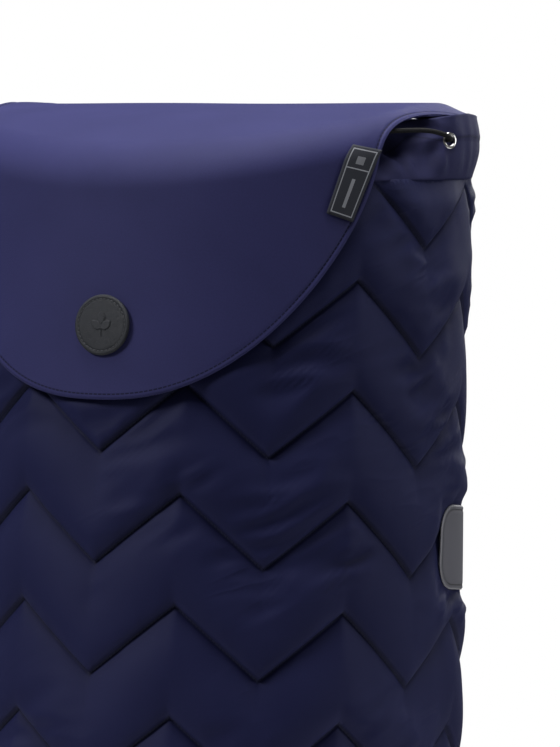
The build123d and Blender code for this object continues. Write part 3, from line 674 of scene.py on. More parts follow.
def quiltHeight(run, band, z):
    # How far the quilt's surface stands out from the bag's outline
    share = band - math.floor(band)
    bandWidth = quilt["pitch"] * math.cos(stitchLean)
    gapBelow, gapAbove = share * bandWidth, (1 - share) * bandWidth
    puff = max(math.sin(math.pi * share**0.68), 0) ** 0.6
    x, y = outlineAt(run)
    place = Vector((x, y, z))
    fullness = 0.92 + 0.22 * noise.noise(place * 9 + Vector((3, 7, 1)))
    seamPinch = smooth(-0.002, 0.022, seamHeight(y) - z) * 0.75 + 0.25
    basePinch = smooth(0.0, 0.020, z)
    held = 1 - 0.45 * flapShade(x, y, z) - 0.55 * patchShade(run, y, z)
    tucked = tuckAt(y, z)
    gap = min(gapBelow, gapAbove)
    ripple = noise.noise(Vector((run * 95 + 11 * math.floor(band), z * 8, 0))) * 0.0007
    pucker = ripple * math.exp(-gap / 0.012) * smooth(0, 0.002, gap)
    slant = z * 0.91 - run * 0.42
    alongSlant = run * 0.91 + z * 0.42
    crease = 1 - abs(noise.noise(Vector((alongSlant * 17, slant * 62, 3))) * 2)
    patchy = smooth(-0.15, 0.35, noise.noise(Vector((run * 11, z * 12, 8)))) * mixNumber(0.45, 1, smooth(0.08, 0.24, abs(run)))
    calm = 1 - 0.75 * smooth(0.015, 0.05, y) * smooth(0.40, 0.48, z)
    wrinkle = (crease - 0.6) * 0.0058 * calm * patchy * smooth(0.0015, 0.012, gap)
    drift = noise.noise(place * 22) * 0.0013 * smooth(0, 0.015, gap)
    return quilt["sunk"] - tucked + (quilt["puff"] * fullness * puff * seamPinch * basePinch + wrinkle + drift) * held + pucker


def makeQuilt(material):
    perSide = math.floor(halfLength / halfZig * quilt["perZig"]) + 1
    columns = 2 * perSide
    bands = quilt["bandHigh"] - quilt["bandLow"]
    bm, uv = gridSheet(columns, bands * quilt["perBand"])
    runLayer = bm.verts.layers.float.new("run")
    bandLayer = bm.verts.layers.float.new("band")
    for vert in bm.verts:
        column = round(vert.co.x * columns) - perSide
        run = math.copysign(min(abs(column) * halfZig / quilt["perZig"], halfLength), column)
        step = vert.co.y * bands
        base = math.floor(step + 1e-6)
        share = max(step - base, 0)
        share = 0.45 * share + 0.55 * (0.5 - 0.5 * math.cos(math.pi * share))
        band = quilt["bandLow"] + base + share
        vert[runLayer], vert[bandLayer] = run, band
        x, y = outlineAt(run)
        vert.co = (x, y, quilt["peak"] + quilt["pitch"] * band + zigzag(run))
    seamNormal = Vector((0, -bag["seamSlope"], 1)).normalized()
    everything = bm.verts[:] + bm.edges[:] + bm.faces[:]
    bmesh.ops.bisect_plane(bm, geom=everything, plane_co=(0, 0, bag["seam"]), plane_no=seamNormal, clear_outer=True)
    everything = bm.verts[:] + bm.edges[:] + bm.faces[:]
    bmesh.ops.bisect_plane(bm, geom=everything, plane_co=(0, 0, 0.004), plane_no=(0, 0, 1), clear_inner=True)
    gapLayer = bm.verts.layers.float.new("stitchGap")
    alongLayer = bm.verts.layers.float.new("stitchRun")
    for vert in bm.verts:
        run, band, z = vert[runLayer], vert[bandLayer], vert.co.z
        share = band - math.floor(band + 1e-5)
        vert[gapLayer] = max(min(share, 1 - share), 0) * quilt["pitch"] * math.cos(stitchLean)
        vert[alongLayer] = run / math.cos(stitchLean)
        x, y = outlineAt(run, quiltHeight(run, band, z))
        vert.co = (x, y, z)
    for face in bm.faces:
        for loop in face.loops:
            loop[uv].uv = (loop.vert[runLayer], loop.vert.co.z)
    # The wall turns in at the seam and goes down inside as the lining; the foot turns under
    seamEdges = [e for e in bm.edges if e.is_boundary and all(abs(v.co.z - seamHeight(v.co.y)) < 0.004 for v in e.verts)]
    footEdges = [e for e in bm.edges if e.is_boundary and all(v.co.z < 0.006 for v in e.verts)]
    steps = [(-0.0045, 0.0005), (-bag["wall"], -0.012)] + [(-bag["wall"], -0.06 - 0.075 * n) for n in range(6)]
    edges = seamEdges
    for out, drop in steps + [(-bag["wall"], None)]:
        made = bmesh.ops.extrude_edge_only(bm, edges=edges)["geom"]
        edges = [item for item in made if isinstance(item, bmesh.types.BMEdge) and item.is_boundary]
        for vert in [item for item in made if isinstance(item, bmesh.types.BMVert)]:
            x, y = outlineAt(vert[runLayer], out)
            if out > -bag["wall"]:
                x, y = outlineAt(vert[runLayer], out - tuckAt(y, bag["seam"]))
            vert.co = (x, y, 0.0095 if drop is None else seamHeight(y) + drop)
            vert[gapLayer] = 0.05
    made = bmesh.ops.extrude_edge_only(bm, edges=footEdges)["geom"]
    for vert in [item for item in made if isinstance(item, bmesh.types.BMVert)]:
        x, y = outlineAt(vert[runLayer], -0.012)
        vert.co = (x, y, 0.002)
    bmesh.ops.remove_doubles(bm, verts=[v for v in bm.verts if abs(v.co.x) < 0.001 and v.co.y > 0], dist=0.0002)
    bmesh.ops.recalc_face_normals(bm, faces=bm.faces)
    piece = addPiece("quiltedBag", bm, material, "trolley", ["bag_shell"])
    return piece


# ---------- collar ----------

collar = {
    "columns": 420,
    "rows": 30,
    "top": ((-0.168, 0.546), (-0.10, 0.562), (-0.078, 0.571), (-0.063, 0.581), (-0.045, 0.5875), (-0.025, 0.593),
            (0.0, 0.5985), (0.022, 0.6015), (0.070, 0.6030), (0.108, 0.6065)),
    "hem": 0.016,
    "thickness": 0.0016,
}
eyelet = {"y": -0.009, "z": 0.579, "facing": (1.0, -0.70, 0.08)}


def along(points, value):
    # Smooth height on a line given by a few points
    if value <= points[0][0]:
        return points[0][1]
    for (x0, y0), (x1, y1) in zip(points, points[1:]):
        if value <= x1:
            return mixNumber(y0, y1, smooth(x0, x1, value) * 0.35 + (value - x0) / (x1 - x0) * 0.65)
    return points[-1][1]


def collarPoint(run, share):
    x, y = outlineAt(run)
    low, high = seamHeight(y) - 0.001, along(collar["top"], y)
    z = mixNumber(low, high, share)
    front = smooth(-0.002, -0.044, y)
    side = 1 - smooth(0.06, 0.11, y)
    drawn = -0.0008 - 0.0012 * share - 0.028 * front * share**1.2 - tuckAt(y, z) * (1 - smooth(0, 0.5, share))
    folds = math.sin(run * 2 * math.pi / 0.0185 + 3.0 * noise.noise(Vector((run * 26, share * 1.2, 4))))
    soft = noise.noise(Vector((run * 34, share * 1.8, 9)))
    acrossEyelet, overEyelet = abs(run) - eyeletRun, z - eyelet["z"]
    reach = math.hypot(acrossEyelet, overEyelet)
    turn = math.atan2(overEyelet, -acrossEyelet)
    rays = math.sin(turn * 6.5 + 1.3 + 40 * reach) * smooth(0.007, 0.020, reach) * (1 - smooth(0.036, 0.060, reach))
    rays *= smooth(0.004, -0.018, acrossEyelet) * smooth(0.0, 0.3, share)
    bulge = math.sin(math.pi * min(share * 1.05, 1)) ** 0.8 * 0.0026
    ramp = smooth(0.0, 0.25, share) * (1 - 0.55 * smooth(0.55, 1, share))
    calm = mixNumber(0.22, 1.0, smooth(-0.015, -0.075, y))
    pleats = (folds * 0.0013 + soft * 0.0024) * ramp * calm * side + rays * 0.0034
    nearX = abs(run) - hollowRun
    hollow = math.exp(-((nearX / 0.012) ** 2 + ((z - 0.5690) / 0.0080) ** 2))
    rest = math.exp(-(((abs(run) - eyeletRun) / 0.010) ** 2 + ((z - eyelet["z"]) / 0.010) ** 2))
    out = drawn + (pleats + bulge) * (1 - rest) - 0.0150 * hollow + 0.0006 * smooth(0.60, 0.66, share)
    z -= 0.006 * hollow * share
    x, y = outlineAt(run, out)
    return x, y, z


def runAtY(y):
    # Distance from the middle of the front to where the right side's outline reaches y
    index = min(range(len(outlinePoints) - 1), key=lambda n: abs(outlinePoints[n][1] - y))
    return outlineRuns[index]


eyeletRun = runAtY(eyelet["y"])
hollowRun = runAtY(-0.056)


def makeCollar(material):
    bm, uv = gridSheet(collar["columns"], collar["rows"])
    for face in bm.faces:
        for loop in face.loops:
            loop[uv].uv = ((loop.vert.co.x * 2 - 1) * halfLength, loop.vert.co.y * 0.05)
    for vert in bm.verts:
        vert.co = collarPoint((vert.co.x * 2 - 1) * halfLength, vert.co.y)
    bmesh.ops.remove_doubles(bm, verts=[v for v in bm.verts if abs(v.co.x) < 0.001 and v.co.y > 0], dist=0.0002)
    edgeMeasures(bm, lambda edge: all(v.co.z - seamHeight(v.co.y) > 0.004 for v in edge.verts))
    bmesh.ops.recalc_face_normals(bm, faces=bm.faces)
    piece = addPiece("collar", bm, material, "trolley", ["bag_collar"])
    wall = piece.modifiers.new("thickness", "SOLIDIFY")
    wall.thickness = collar["thickness"]
    wall.offset = -1
    2 * halfLength * 1.02
    return piece


# ---------- flap ----------

flap = {
    "out": 0.0080,  # its outer face, from the bag's outline
    "halfWidth": 0.171,
    "rearHalf": 0.186,
    "rearCorner": 0.092,
    "rearY": 0.1085,
    "rearZ": 0.6095,
    "rise": -0.0887,
    "crown": -1.0864,
    "shoulderY": -0.088,
    "shoulderEnd": 0.025,
    "shoulderZ": 0.565,
    "drop": 0.186,
    "roll": 0.024,
    "curl": 0.0080,
    "leftCurl": -0.0018,
    "fullness": 2.4,
    "sharpness": 0.62,
    "thickness": 0.0022,
    "columns": 240,
    "rows": 170,
}
wallX, wallY = bag["halfWidth"] + flap["out"], bag["front"] + flap["out"]


def crown(y):
    back = y - flap["rearY"]
    return flap["rearZ"] + flap["rise"] * back + flap["crown"] * back * back


def wallGap(x, y):
    # Distance inside the upright wall that the flap's front follows
    if y >= 0:
        return wallX - abs(x)
    level = math.hypot(x / wallX, y / wallY)
    slope = math.hypot(x / wallX**2, y / wallY**2) / level
    return (1 - level) / slope


def flapTop(x, y):
    roll = flap["roll"]
    inward = max(roll - max(wallGap(x, y), 0), 0)
    straight = flap["rearHalf"] - flap["rearCorner"]
    beyond = max(y - (flap["rearY"] - flap["rearCorner"]), 0)
    toEdge = flap["rearHalf"] - abs(x)
    if beyond:
        toEdge = flap["rearCorner"] - math.hypot(max(abs(x) - straight, 0), beyond)
    curl = (flap["curl"] if x > 0 else flap["leftCurl"]) * (1 - smooth(0.0, 0.026, toEdge)) * smooth(straight, 0.15, abs(x))
    lift = 0.0012 * noise.noise(Vector((x * 7, y * 7, 2)))
    lift += 0.0050 * max(1 - (x / 0.165) ** 2, 0) * smooth(0.0, -0.13, y)
    return crown(y) - roll + math.sqrt(roll * roll - inward * inward) - curl + lift


def flapColumn(x):
    # Path of one lengthwise line of the flap: over the top, round the roll and down the front
    reach = abs(x)
    start = flap["rearY"]
    straight = flap["rearHalf"] - flap["rearCorner"]
    if reach > straight:
        inCorner = min(reach - straight, flap["rearCorner"] - 0.0002)
        start += math.sqrt(flap["rearCorner"] ** 2 - inCorner**2) - flap["rearCorner"]
    if reach < wallX:
        front = -wallY * math.sqrt(max(1 - (x / wallX) ** 2, 0))
    if reach > flap["halfWidth"]:
        share = (reach - flap["halfWidth"]) / (flap["rearHalf"] - flap["halfWidth"])
        front = mixNumber(flap["shoulderY"], flap["shoulderEnd"], share**0.5556)
    points = []
    for step in range(161):
        share = math.sin(math.pi / 2 * step / 160) if reach <= flap["halfWidth"] else step / 160
        y = mixNumber(start, front, share)
        points.append((y, flapTop(x, y)))
    if reach <= flap["halfWidth"]:
        share = min(reach / flap["halfWidth"], 1)
        edge = flap["shoulderZ"] - flap["drop"] * (1 - share ** flap["fullness"]) ** flap["sharpness"]
        low = points[-1][1]
        for step in range(1, 61):
            z = mixNumber(low, edge - 0.001, step / 60)
            if low > edge:
                points.append((front, z))
        while len(points) > 2 and points[-2][1] < edge:
            points.pop()
        (y0, z0), (y1, z1) = points[-2], points[-1]
        share = min(max((z0 - edge) / max(z0 - z1, 1e-6), 0), 1)
        points[-1] = (mixNumber(y0, y1, share), mixNumber(z0, z1, share))
    return points


def alongColumn(points, rows):
    # The column's points, evenly spaced along its length, and that length
    runs = [0.0]
    for before, after in zip(points, points[1:]):
        runs.append(runs[-1] + math.dist(before, after))
    placed, index = [], 1
    for row in range(rows + 1):
        target = runs[-1] * row / rows
        while index < len(runs) - 1 and runs[index] < target:
            index += 1
        span = max(runs[index] - runs[index - 1], 1e-9)
        share = min(max((target - runs[index - 1]) / span, 0), 1)
        first, second = points[index - 1], points[index]
        placed.append((mixNumber(first[0], second[0], share), mixNumber(first[1], second[1], share)))
    return placed, runs[-1]


def flapSpread(share):
    # Columns are closest together near the shoulders, where the edge turns the corner
    side = 1 if share >= 0 else -1
    t = abs(share)
    inner, knee = flap["halfWidth"], 0.80
    if t < knee:
        return side * inner * math.sin(math.pi / 2 * (t / knee)) ** 0.9
    outer = (t - knee) / (1 - knee)
    return side * mixNumber(inner, flap["rearHalf"], outer**1.7)


def flapFace(x, z):
    # y of the flap's front at a place seen from the front
    points = flapColumn(x)
    for (y0, z0), (y1, z1) in zip(reversed(points[:-1]), reversed(points)):
        if z0 >= z:
            return mixNumber(y1, y0, min(max((z - z1) / max(z0 - z1, 1e-6), 0), 1))
    return points[0][0]


def makeFlap(material):
    bm, uv = gridSheet(flap["columns"], flap["rows"])
    bm.verts.ensure_lookup_table()
    columns = {}
    flat = {}
    for vert in bm.verts:
        column = round(vert.co.x * flap["columns"])
        row = round((1 - vert.co.y) * flap["rows"])
        if column not in columns:
            x = flapSpread(2 * column / flap["columns"] - 1)
            columns[column] = (x, *alongColumn(flapColumn(x), flap["rows"]))
        x, placed, length = columns[column]
        y, z = placed[row]
        wave = 0.0008 * noise.noise(Vector((x * 11, z * 9, 5))) if row > 20 else 0
        vert.co = (x, y - wave, z)
        flat[vert] = (x, length * row / flap["rows"])
    for face in bm.faces:
        for loop in face.loops:
            loop[uv].uv = flat[loop.vert]
    rear = flap["rearY"] - 0.0005
    gap, _ = edgeMeasures(bm, lambda edge: any(v.co.y < rear for v in edge.verts))
    bmesh.ops.recalc_face_normals(bm, faces=bm.faces)
    if sum(face.normal.z for face in bm.faces) < 0:
        bmesh.ops.reverse_faces(bm, faces=bm.faces)
    bm.normal_update()
    # A turned and stitched hem: the edge swells a little and the line of stitches pulls it in
    for vert in bm.verts:
        hem = math.exp(-(((vert[gap] - 0.0018) / 0.0014) ** 2)) * 0.0004
        pull = math.exp(-(((vert[gap] - 0.0038) / 0.0009) ** 2)) * 0.0005
        vert.co += vert.normal * (hem - pull)
    area = sum(face.calc_area() for face in bm.faces)
    print("stage: flap cloth area", round(area, 4))
    piece = addPiece("flapCover", bm, material, None, ["flap"])
    wall = piece.modifiers.new("thickness", "SOLIDIFY")
    wall.thickness = flap["thickness"]
    wall.offset = -1
    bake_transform(piece)
    return piece


# ---------- small pieces ----------


def lathe(profile, steps, matrix):
    # Ring or disc from a profile of (radius, height), spun about its own z
    bm = bmesh.new()
    verts = [bm.verts.new((radius, 0, height)) for radius, height in profile]
    edges = [bm.edges.new(pair) for pair in zip(verts, verts[1:])]
    if profile[0] == profile[-1]:
        bmesh.ops.remove_doubles(bm, verts=verts, dist=1e-7)
        edges = bm.edges[:]
    bmesh.ops.spin(bm, geom=bm.verts[:] + bm.edges[:], cent=(0, 0, 0), axis=(0, 0, 1), angle=2 * math.pi,
                   steps=steps, use_merge=True)
    bmesh.ops.remove_doubles(bm, verts=bm.verts, dist=1e-6)
    bmesh.ops.recalc_face_normals(bm, faces=bm.faces)
    bmesh.ops.transform(bm, matrix=matrix, verts=bm.verts)
    return bm


def facing(x, y, z, direction):
    # Matrix that puts a lathe's own z along a direction, at a place on the upright bag
    return Matrix.Translation((x, y, z)) @ Vector(direction).to_track_quat("Z", "Y").to_matrix().to_4x4()


badge = {"x": 0.003, "z": 0.4315, "radius": 0.0215, "thickness": 0.0028, "ring": 0.0184, "stitches": 38}


def makeBadge(leather, thread):
    radius, deep = badge["radius"], badge["thickness"]
    groove = badge["ring"]
    profile = [(0.0, 0.0), (radius - 0.001, 0.0), (radius - 0.0002, 0.0005), (radius, 0.0013), (radius - 0.0003, 0.0021),
               (radius - 0.0011, deep - 0.0001), (radius - 0.0019, deep), (groove + 0.0006, deep - 0.0001),
               (groove, deep - 0.0006), (groove - 0.0006, deep - 0.0001), (groove - 0.0016, deep),
               (0.012, deep + 0.0003), (0.006, deep + 0.0004), (0.0, deep + 0.0004)]
    place = facing(badge["x"], flapFace(0, badge["z"]) - 0.0002, badge["z"], (0, -1, 0))
    bm = lathe(profile, 96, place)
    piece = addPiece("badge_leather", bm, leather, "flap", ["badge"])
    # Stitches sunk in the groove
    bm = bmesh.new()
    for index in range(badge["stitches"]):
        angle = 2 * math.pi * index / badge["stitches"]
        spot = Matrix.Translation((groove * math.cos(angle), groove * math.sin(angle), deep - 0.00015))
        turn = Matrix.Rotation(angle + math.pi / 2, 4, "Z") @ Matrix.Diagonal((0.0012, 0.00042, 0.0004, 1))
        bmesh.ops.create_icosphere(bm, subdivisions=2, radius=1, matrix=place @ spot @ turn)
    addPiece("badge_stitches", bm, thread, "flap", None)
    # Embossed motif: a sprig with three leaves inside a fine ring
    bm = bmesh.new()
    leaf = [(0.0, 0.0), (0.0024, 0.0022), (0.0032, 0.0048), (0.0020, 0.0076), (0.0, 0.0094)]
    outline = leaf + [(-x, y) for x, y in reversed(leaf[1:-1])]
    for angle, foot in ((0, 0.0015), (52, -0.002), (-52, -0.002)):
        turn = Matrix.Translation((0, foot - 0.001, deep + 0.0001)) @ Matrix.Rotation(math.radians(angle), 4, "Z")
        verts = [bm.verts.new(place @ turn @ Vector((x, y, 0))) for x, y in outline]
        face = bm.faces.new(verts)
        raised = bmesh.ops.extrude_face_region(bm, geom=[face])["geom"]
        moved = [item for item in raised if isinstance(item, bmesh.types.BMVert)]
        bmesh.ops.translate(bm, verts=moved, vec=(0, -0.0007, 0))
        top = [item for item in raised if isinstance(item, bmesh.types.BMFace)]
        bmesh.ops.inset_region(bm, faces=top, thickness=0.0006, depth=0.0002)
    stem = lathe([(0.0006, -0.0085), (0.0008, 0.0), (0.0004, 0.004)], 12, place @ Matrix.Translation((0, 0, deep + 0.0002)) @ Matrix.Rotation(-math.pi / 2, 4, "X"))
    stemMesh = bpy.data.meshes.new("stem")
    stem.to_mesh(stemMesh)
    stem.free()
    bm.from_mesh(stemMesh)
    bmesh.ops.recalc_face_normals(bm, faces=bm.faces)
    addPiece("badge_motif", bm, leather, "flap", None, smoothShade=False)
    return piece


label = {
    "corners": ((0.1455, 0.5165), (0.1590, 0.5115), (0.1712, 0.5640), (0.1560, 0.5665)),
    "width": 0.0225,
    "height": 0.053,
    "margin": 0.0022,
    "line": 0.0008,
    "out": 0.0012,
}


def makeLabel(material):
    columns, rows = 14, 36
    bm, uv = gridSheet(columns, rows)
    lowLeft, lowRight, highRight, highLeft = label["corners"]
    for face in bm.faces:
        for loop in face.loops:
            loop[uv].uv = (loop.vert.co.x * label["width"], loop.vert.co.y * label["height"])
    for vert in bm.verts:
        s, t = vert.co.x, vert.co.y
        x = mixNumber(mixNumber(lowLeft[0], lowRight[0], s), mixNumber(highLeft[0], highRight[0], s), t)
        z = mixNumber(mixNumber(lowLeft[1], lowRight[1], s), mixNumber(highLeft[1], highRight[1], s), t)
        held = min(x, flap["halfWidth"] - 0.001)
        y = flapFace(held, z)
        slope = Vector((x / wallX**2, y / wallY**2)).normalized()
        lift = label["out"] + 0.0006 * math.sin(math.pi * s) * math.sin(math.pi * t)
        vert.co = (x + slope.x * lift, y + slope.y * lift, z)
    bmesh.ops.recalc_face_normals(bm, faces=bm.faces)
    if sum(face.normal.y for face in bm.faces) > 0:
        bmesh.ops.reverse_faces(bm, faces=bm.faces)
    piece = addPiece("wovenLabel", bm, material, "flap", ["label"])
    wall = piece.modifiers.new("thickness", "SOLIDIFY")
    wall.thickness = 0.0009
    wall.offset = -1
    return piece


def makePatch(material, side):
    columns, rows = 44, 40
    bm, uv = gridSheet(columns, rows)
    first, last = runAtY(patch["front"]), runAtY(patch["back"])
    middle, half = (patch["low"] + patch["high"]) / 2, (patch["high"] - patch["low"]) / 2
    width = last - first
    for vert in bm.verts:
        across = mixNumber(-width / 2, width / 2, 0.5 - 0.5 * math.cos(math.pi * vert.co.x))
        fromEnd = max(abs(across) - (width / 2 - patch["corner"]), 0)
        high = half - patch["corner"] + math.sqrt(max(patch["corner"] ** 2 - fromEnd**2, 0))
        z = middle + (vert.co.y * 2 - 1) * high
        x, y = outlineAt(first + width / 2 + across)
        x, y = outlineAt(first + width / 2 + across, patch["out"] - tuckAt(y, z))
        for loop in vert.link_loops:
            loop[uv].uv = (across, z)
        vert.co = (side * x, y, z)
    gap, _ = edgeMeasures(bm, lambda edge: True)
    bmesh.ops.recalc_face_normals(bm, faces=bm.faces)
    if sum(face.normal.x for face in bm.faces) * side < 0:
        bmesh.ops.reverse_faces(bm, faces=bm.faces)
    bm.normal_update()
    for vert in bm.verts:
        edge = min(vert[gap] / 0.0025, 1)
        pull = math.exp(-(((vert[gap] - 0.0034) / 0.0008) ** 2)) * 0.0005
        vert.co += vert.normal * (0.0009 * math.sqrt(1 - (1 - edge) ** 2) - pull)
    name = "sidePatchRight" if side > 0 else "sidePatchLeft"
    node = "side_patch_right" if side > 0 else "side_patch_left"
    piece = addPiece(name, bm, material, "trolley", [node])
    wall = piece.modifiers.new("thickness", "SOLIDIFY")
    wall.thickness = 0.0018
    wall.offset = -1
    return piece


def makeEyelet(material, side):
    profile = [(0.0036, -0.0016), (0.0034, 0.0004), (0.0038, 0.0011), (0.0046, 0.0014), (0.0055, 0.0010), (0.0062, 0.0002),
               (0.0063, -0.0004), (0.0060, -0.0010), (0.0046, -0.0012), (0.0036, -0.0016)]
    low, high = seamHeight(eyelet["y"]), along(collar["top"], eyelet["y"])
    x, y, z = collarPoint(eyeletRun, (eyelet["z"] - low) / (high - low))
    outward = Vector(eyelet["facing"]).normalized()
    spot = Vector((x, y, z)) + outward * 0.0006
    outward.x *= side
    bm = lathe(profile, 48, facing(side * spot.x, spot.y, spot.z, outward))
    name = "eyeletRight" if side > 0 else "eyeletLeft"
    return addPiece(name, bm, material, "trolley", ["eyelet_right" if side > 0 else "eyelet_left"])


cordRoute = [
    (0.0032, -0.132, 0.519), (0.0032, -0.132, 0.549), (0.006, -0.132, 0.556), (0.060, -0.122, 0.557), (0.120, -0.098, 0.564),
    (0.150, -0.080, 0.5725), (0.163, -0.073, 0.5785), (0.176, -0.059, 0.5810), (0.1865, -0.040, 0.5830),
    (0.1925, -0.022, 0.5810), (0.1915, -0.0135, 0.579), (0.1835, -0.0080, 0.579), (0.1790, -0.001, 0.580),
    (0.1835, 0.018, 0.583), (0.181, 0.054, 0.586), (0.1574, 0.0790, 0.588), (0.131, 0.1055, 0.588),
    (0.094, 0.106, 0.588), (0.0, 0.106, 0.588),
]
cordRadius = 0.00175


def splineTube(name, points, radius, sides=12, cyclic=False):
    # Points along a smooth spline through the given points
    curve = bpy.data.curves.new(name, "CURVE")
    curve.dimensions = "3D"
    spline = curve.splines.new("NURBS")
    spline.points.add(len(points) - 1)
    for point, place in zip(spline.points, points):
        point.co = (*place, 1)
    spline.order_u = 3
    spline.use_endpoint_u = not cyclic
    spline.use_cyclic_u = cyclic
    spline.resolution_u = 8
    holder = bpy.data.objects.new(name, curve)
    bpy.context.scene.collection.objects.link(holder)
    mesh = bpy.data.meshes.new_from_object(holder.evaluated_get(bpy.context.evaluated_depsgraph_get()))
    bpy.data.objects.remove(holder)
    line = [vert.co.copy() for vert in mesh.vertices]
    bpy.data.meshes.remove(mesh)
    return line


def tubeMesh(line, radius, sides=12):
    # Rings round a line of points, bridged one to the next and capped
    bm = bmesh.new()
    uv = bm.loops.layers.uv.new("cloth")
    run, rings, runs = 0.0, [], []
    side = Vector((0, 0, 1))
    for index, place in enumerate(line):
        before, after = line[max(index - 1, 0)], line[min(index + 1, len(line) - 1)]
        forward = (after - before).normalized()
        side = (side - forward * side.dot(forward)).normalized() if abs(side.dot(forward)) < 0.999 else forward.orthogonal().normalized()
        up = forward.cross(side)
        turn = Matrix((side, up, forward)).transposed().to_4x4()
        if index:
            run += (place - line[index - 1]).length
        made = bmesh.ops.create_circle(bm, cap_ends=False, segments=sides, radius=radius, matrix=Matrix.Translation(place) @ turn)
        rings.append(made["verts"])
        runs.append(run)
    for index, (first, second) in enumerate(zip(rings, rings[1:])):
        for corner in range(sides):
            following = (corner + 1) % sides
            face = bm.faces.new((first[corner], first[following], second[following], second[corner]))
            around = 2 * math.pi * radius / sides
            spots = ((corner, runs[index]), (corner + 1, runs[index]), (corner + 1, runs[index + 1]), (corner, runs[index + 1]))
            for loop, (step, distance) in zip(face.loops, spots):
                loop[uv].uv = (step * around, distance)
    bm.faces.new(rings[0])
    bm.faces.new(rings[-1])
    bmesh.ops.recalc_face_normals(bm, faces=bm.faces)
    return bm


def makeDrawstring(material):
    right = splineTube("drawstringPath", cordRoute, cordRadius)
    left = [Vector((-place.x, place.y, place.z)) for place in reversed(right)]
    line = right + left[1:]
    bm = tubeMesh(line, cordRadius, 14)
    return addPiece("drawstringCord", bm, material, "trolley", ["drawstring"])


# ---------- underside and tyres ------------------


def makeBase(material):
    bm = bmesh.new()
    uv = bm.loops.layers.uv.new("cloth")
    count = 160
    verts = []
    for step in range(count):
        x, y = outlineAt((2 * step / count - 1) * halfLength, -0.0015)
        verts.append(bm.verts.new((x, y, 0)))
    under = bm.faces.new(verts)
    raised = bmesh.ops.extrude_face_region(bm, geom=[under])["geom"]
    bmesh.ops.translate(bm, verts=[item for item in raised if isinstance(item, bmesh.types.BMVert)], vec=(0, 0, 0.006))
    rim = [edge for edge in bm.edges if all(v.co.z < 0.001 for v in edge.verts)]
    bmesh.ops.bevel(bm, geom=rim, offset=0.0025, segments=3, profile=0.5, affect="EDGES", material=-1)
    bmesh.ops.recalc_face_normals(bm, faces=bm.faces)
    for face in bm.faces:
        for loop in face.loops:
            loop[uv].uv = (loop.vert.co.x, loop.vert.co.y)
    return addPiece("bagUnderside", bm, material, "trolley", ["bag_base"], smoothShade=False)


tyre = {"radius": 0.100, "depth": 0.015, "width": 0.028, "groove": 0.0016, "blocks": 60}


def makeTyre(material, side):
    name = "left" if side < 0 else "right"
    low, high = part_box(f"tyre_{name}")
    centre = (Vector(low) + Vector(high)) / 2
    half, outer, inner = tyre["width"] / 2, tyre["radius"], tyre["radius"] - tyre["depth"]
    profile = [(inner, -half + 0.001), (inner + 0.004, -half), (outer - 0.008, -half + 0.0008), (outer - 0.003, -half + 0.0035)]
    for place in (-0.0072, -0.0024, 0.0024, 0.0072):
        profile += [(outer - 0.0004, place - 0.0014), (outer - tyre["groove"], place - 0.0008),
                    (outer - tyre["groove"], place + 0.0008), (outer - 0.0004, place + 0.0014)]
        profile += [(outer, place + 0.0024)] if place < 0.007 else []
    profile += [(outer - 0.003, half - 0.0035), (outer - 0.008, half - 0.0008), (inner + 0.004, half), (inner, half - 0.001)]
    profile.append(profile[0])
    bm = lathe(profile, 120, Matrix.Translation(centre) @ Matrix.Rotation(math.pi / 2, 4, "Y"))
    return addPiece(f"tyreTread_{name}", bm, material, f"wheel_{name}", [f"tyre_{name}"], matrix=Matrix.Identity(4))


springs = {
    "pin_spring_left": "lock_knob_left_pull",
    "pin_spring_right": "lock_knob_right_pull",
    "cord_lock_spring": "cord_lock_press",
}


def makeSpring(material, node, joint):
    # A coil from its CAD node, as a piece with its own mesh on that node's body
    coil = frame["nodes"][node]
    axis = Vector(joints[joint]["axis"]).normalized()
    bm = bmesh.new()
    bm.from_mesh(coil.data)
    bmesh.ops.remove_doubles(bm, verts=bm.verts, dist=1e-6)
    reaches = [vert.co.dot(axis) for vert in bm.verts]
    length = max(reaches) - min(reaches)
    travel = max(abs(limit) for limit in joints[joint]["range_m"])
    piece = addPiece(f"{node}_coil", bm, material, coil["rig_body"], [node], matrix=Matrix.Identity(4))
    (length - travel) / length
    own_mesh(piece)


# ---------- put together ----------

makeCamera()
makeLights()
print("stage: camera and light")

floor = bpy.data.meshes.new("floor")
floorMaker = bmesh.new()
bmesh.ops.create_grid(floorMaker, x_segments=2, y_segments=2, size=1)
floorMaker.to_mesh(floor)
floorMaker.free()
floor.materials.append(floorFinish())
floorPiece = bpy.data.objects.new("floor", floor)
bpy.context.scene.collection.objects.link(floorPiece)

cordMaterial = cordFinish()
makeDrawstring(cordMaterial)
print("stage: drawstring")

quiltMaterial = quiltFinish()
makeQuilt(quiltMaterial)
print("stage: quilted bag")

collarMaterial = clothFinish(
    "collarCloth", (0.0195, 0.0205, 0.0600), (0.0280, 0.0290, 0.0800), 0.03, 0.0006, 0.6,
    # dark is painted shade in the collar's hem stitch groove
    {"line": (0.0165, 0.0004, 0.003), "groove": 0.0009, "dark": (0.006, 0.006, 0.016), "thread": (0.02, 0.022, 0.05)},
)
makeCollar(collarMaterial)
print("stage: collar")

flapMaterial = clothFinish(
    "flapTwill", (0.0285, 0.0295, 0.0930), (0.0370, 0.0375, 0.1190), 0.03, 0.0005, 0.5,
    # dark is painted shade in the flap's hem stitch groove
    {"line": (0.0038, 0.00045, 0.0036), "groove": 0.0008, "dark": (0.014, 0.014, 0.044), "thread": (0.005, 0.005, 0.016)},
)
makeFlap(flapMaterial)
print("stage: flap")

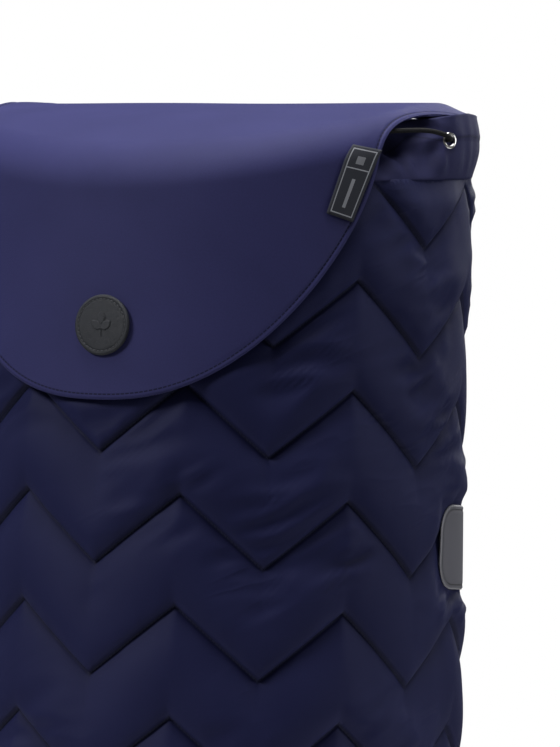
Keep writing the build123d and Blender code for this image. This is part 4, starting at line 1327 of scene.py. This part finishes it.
leatherMaterial = leatherFinish()
threadMaterial = plasticFinish("greyThread", (0.040, 0.042, 0.050), (0.070, 0.073, 0.085), 0.6)
makeBadge(leatherMaterial, threadMaterial)
makeLabel(labelFinish())
patchMaterial = patchFinish()
nickelMaterial = metalFinish("brightNickel", (0.62, 0.61, 0.60), (0.85, 0.84, 0.82), 0.16, 0.12)
zincMaterial = metalFinish("zincSteel", (0.45, 0.45, 0.46), (0.65, 0.65, 0.66), 0.28, 0.2)
for side in (1, -1):
    makePatch(patchMaterial, side)
    makeEyelet(nickelMaterial, side)
makeBase(quiltMaterial)
rubberMaterial = rubberFinish("tyreRubber", 1400)
for side in (1, -1):
    makeTyre(rubberMaterial, side)
for node, joint in springs.items():
    makeSpring(zincMaterial, node, joint)
print("stage: small pieces")

nodeFinishes = {
    "powder": (paintFinish(), ["rail_left", "rail_right", "brace_lower", "brace_upper", "toe_bow", "stand_bow",
                               "axle_bracket_left", "axle_bracket_right", "axle_tube"]),
    "aluminium": (metalFinish("satinAluminium", (0.55, 0.55, 0.56), (0.72, 0.72, 0.73), 0.32, 0.15), ["handle_bow"]),
    "foam": (rubberFinish("foamRubber", 900), ["handle_grip", "foot_left", "foot_right"]),
    "plastic": (plasticFinish("blackPlastic", (0.012, 0.012, 0.014), (0.020, 0.020, 0.022), 0.45),
                ["rail_collar_left", "rail_collar_right", "rail_plug_left", "rail_plug_right", "handle_glide_left",
                 "handle_glide_right", "boss_caps", "cord_lock_body", "cord_lock_button", "cord_end_left",
                 "cord_end_right", "axle_bushes", "base_board", "lock_knob_left", "lock_knob_right"]),
    "wheel": (plasticFinish("wheelPlastic", (0.045, 0.047, 0.052), (0.060, 0.062, 0.068), 0.4),
              ["wheel_rim_left", "wheel_rim_right", "hub_cap_left", "hub_cap_right"]),
    "zinc": (zincMaterial, ["axle", "axle_washers", "axle_retainers", "frame_bolts", "frame_nuts", "bearings_left",
                            "bearings_right", "closure_magnet", "closure_plate"]),
    "webbing": (webbingFinish(), ["hanger_strap_left", "hanger_strap_right", "lower_strap"]),
}
for material, names in nodeFinishes.values():
    for name in names:
        for slot in frame["nodes"][name].material_slots:
            slot.material = material
print("stage: node materials")
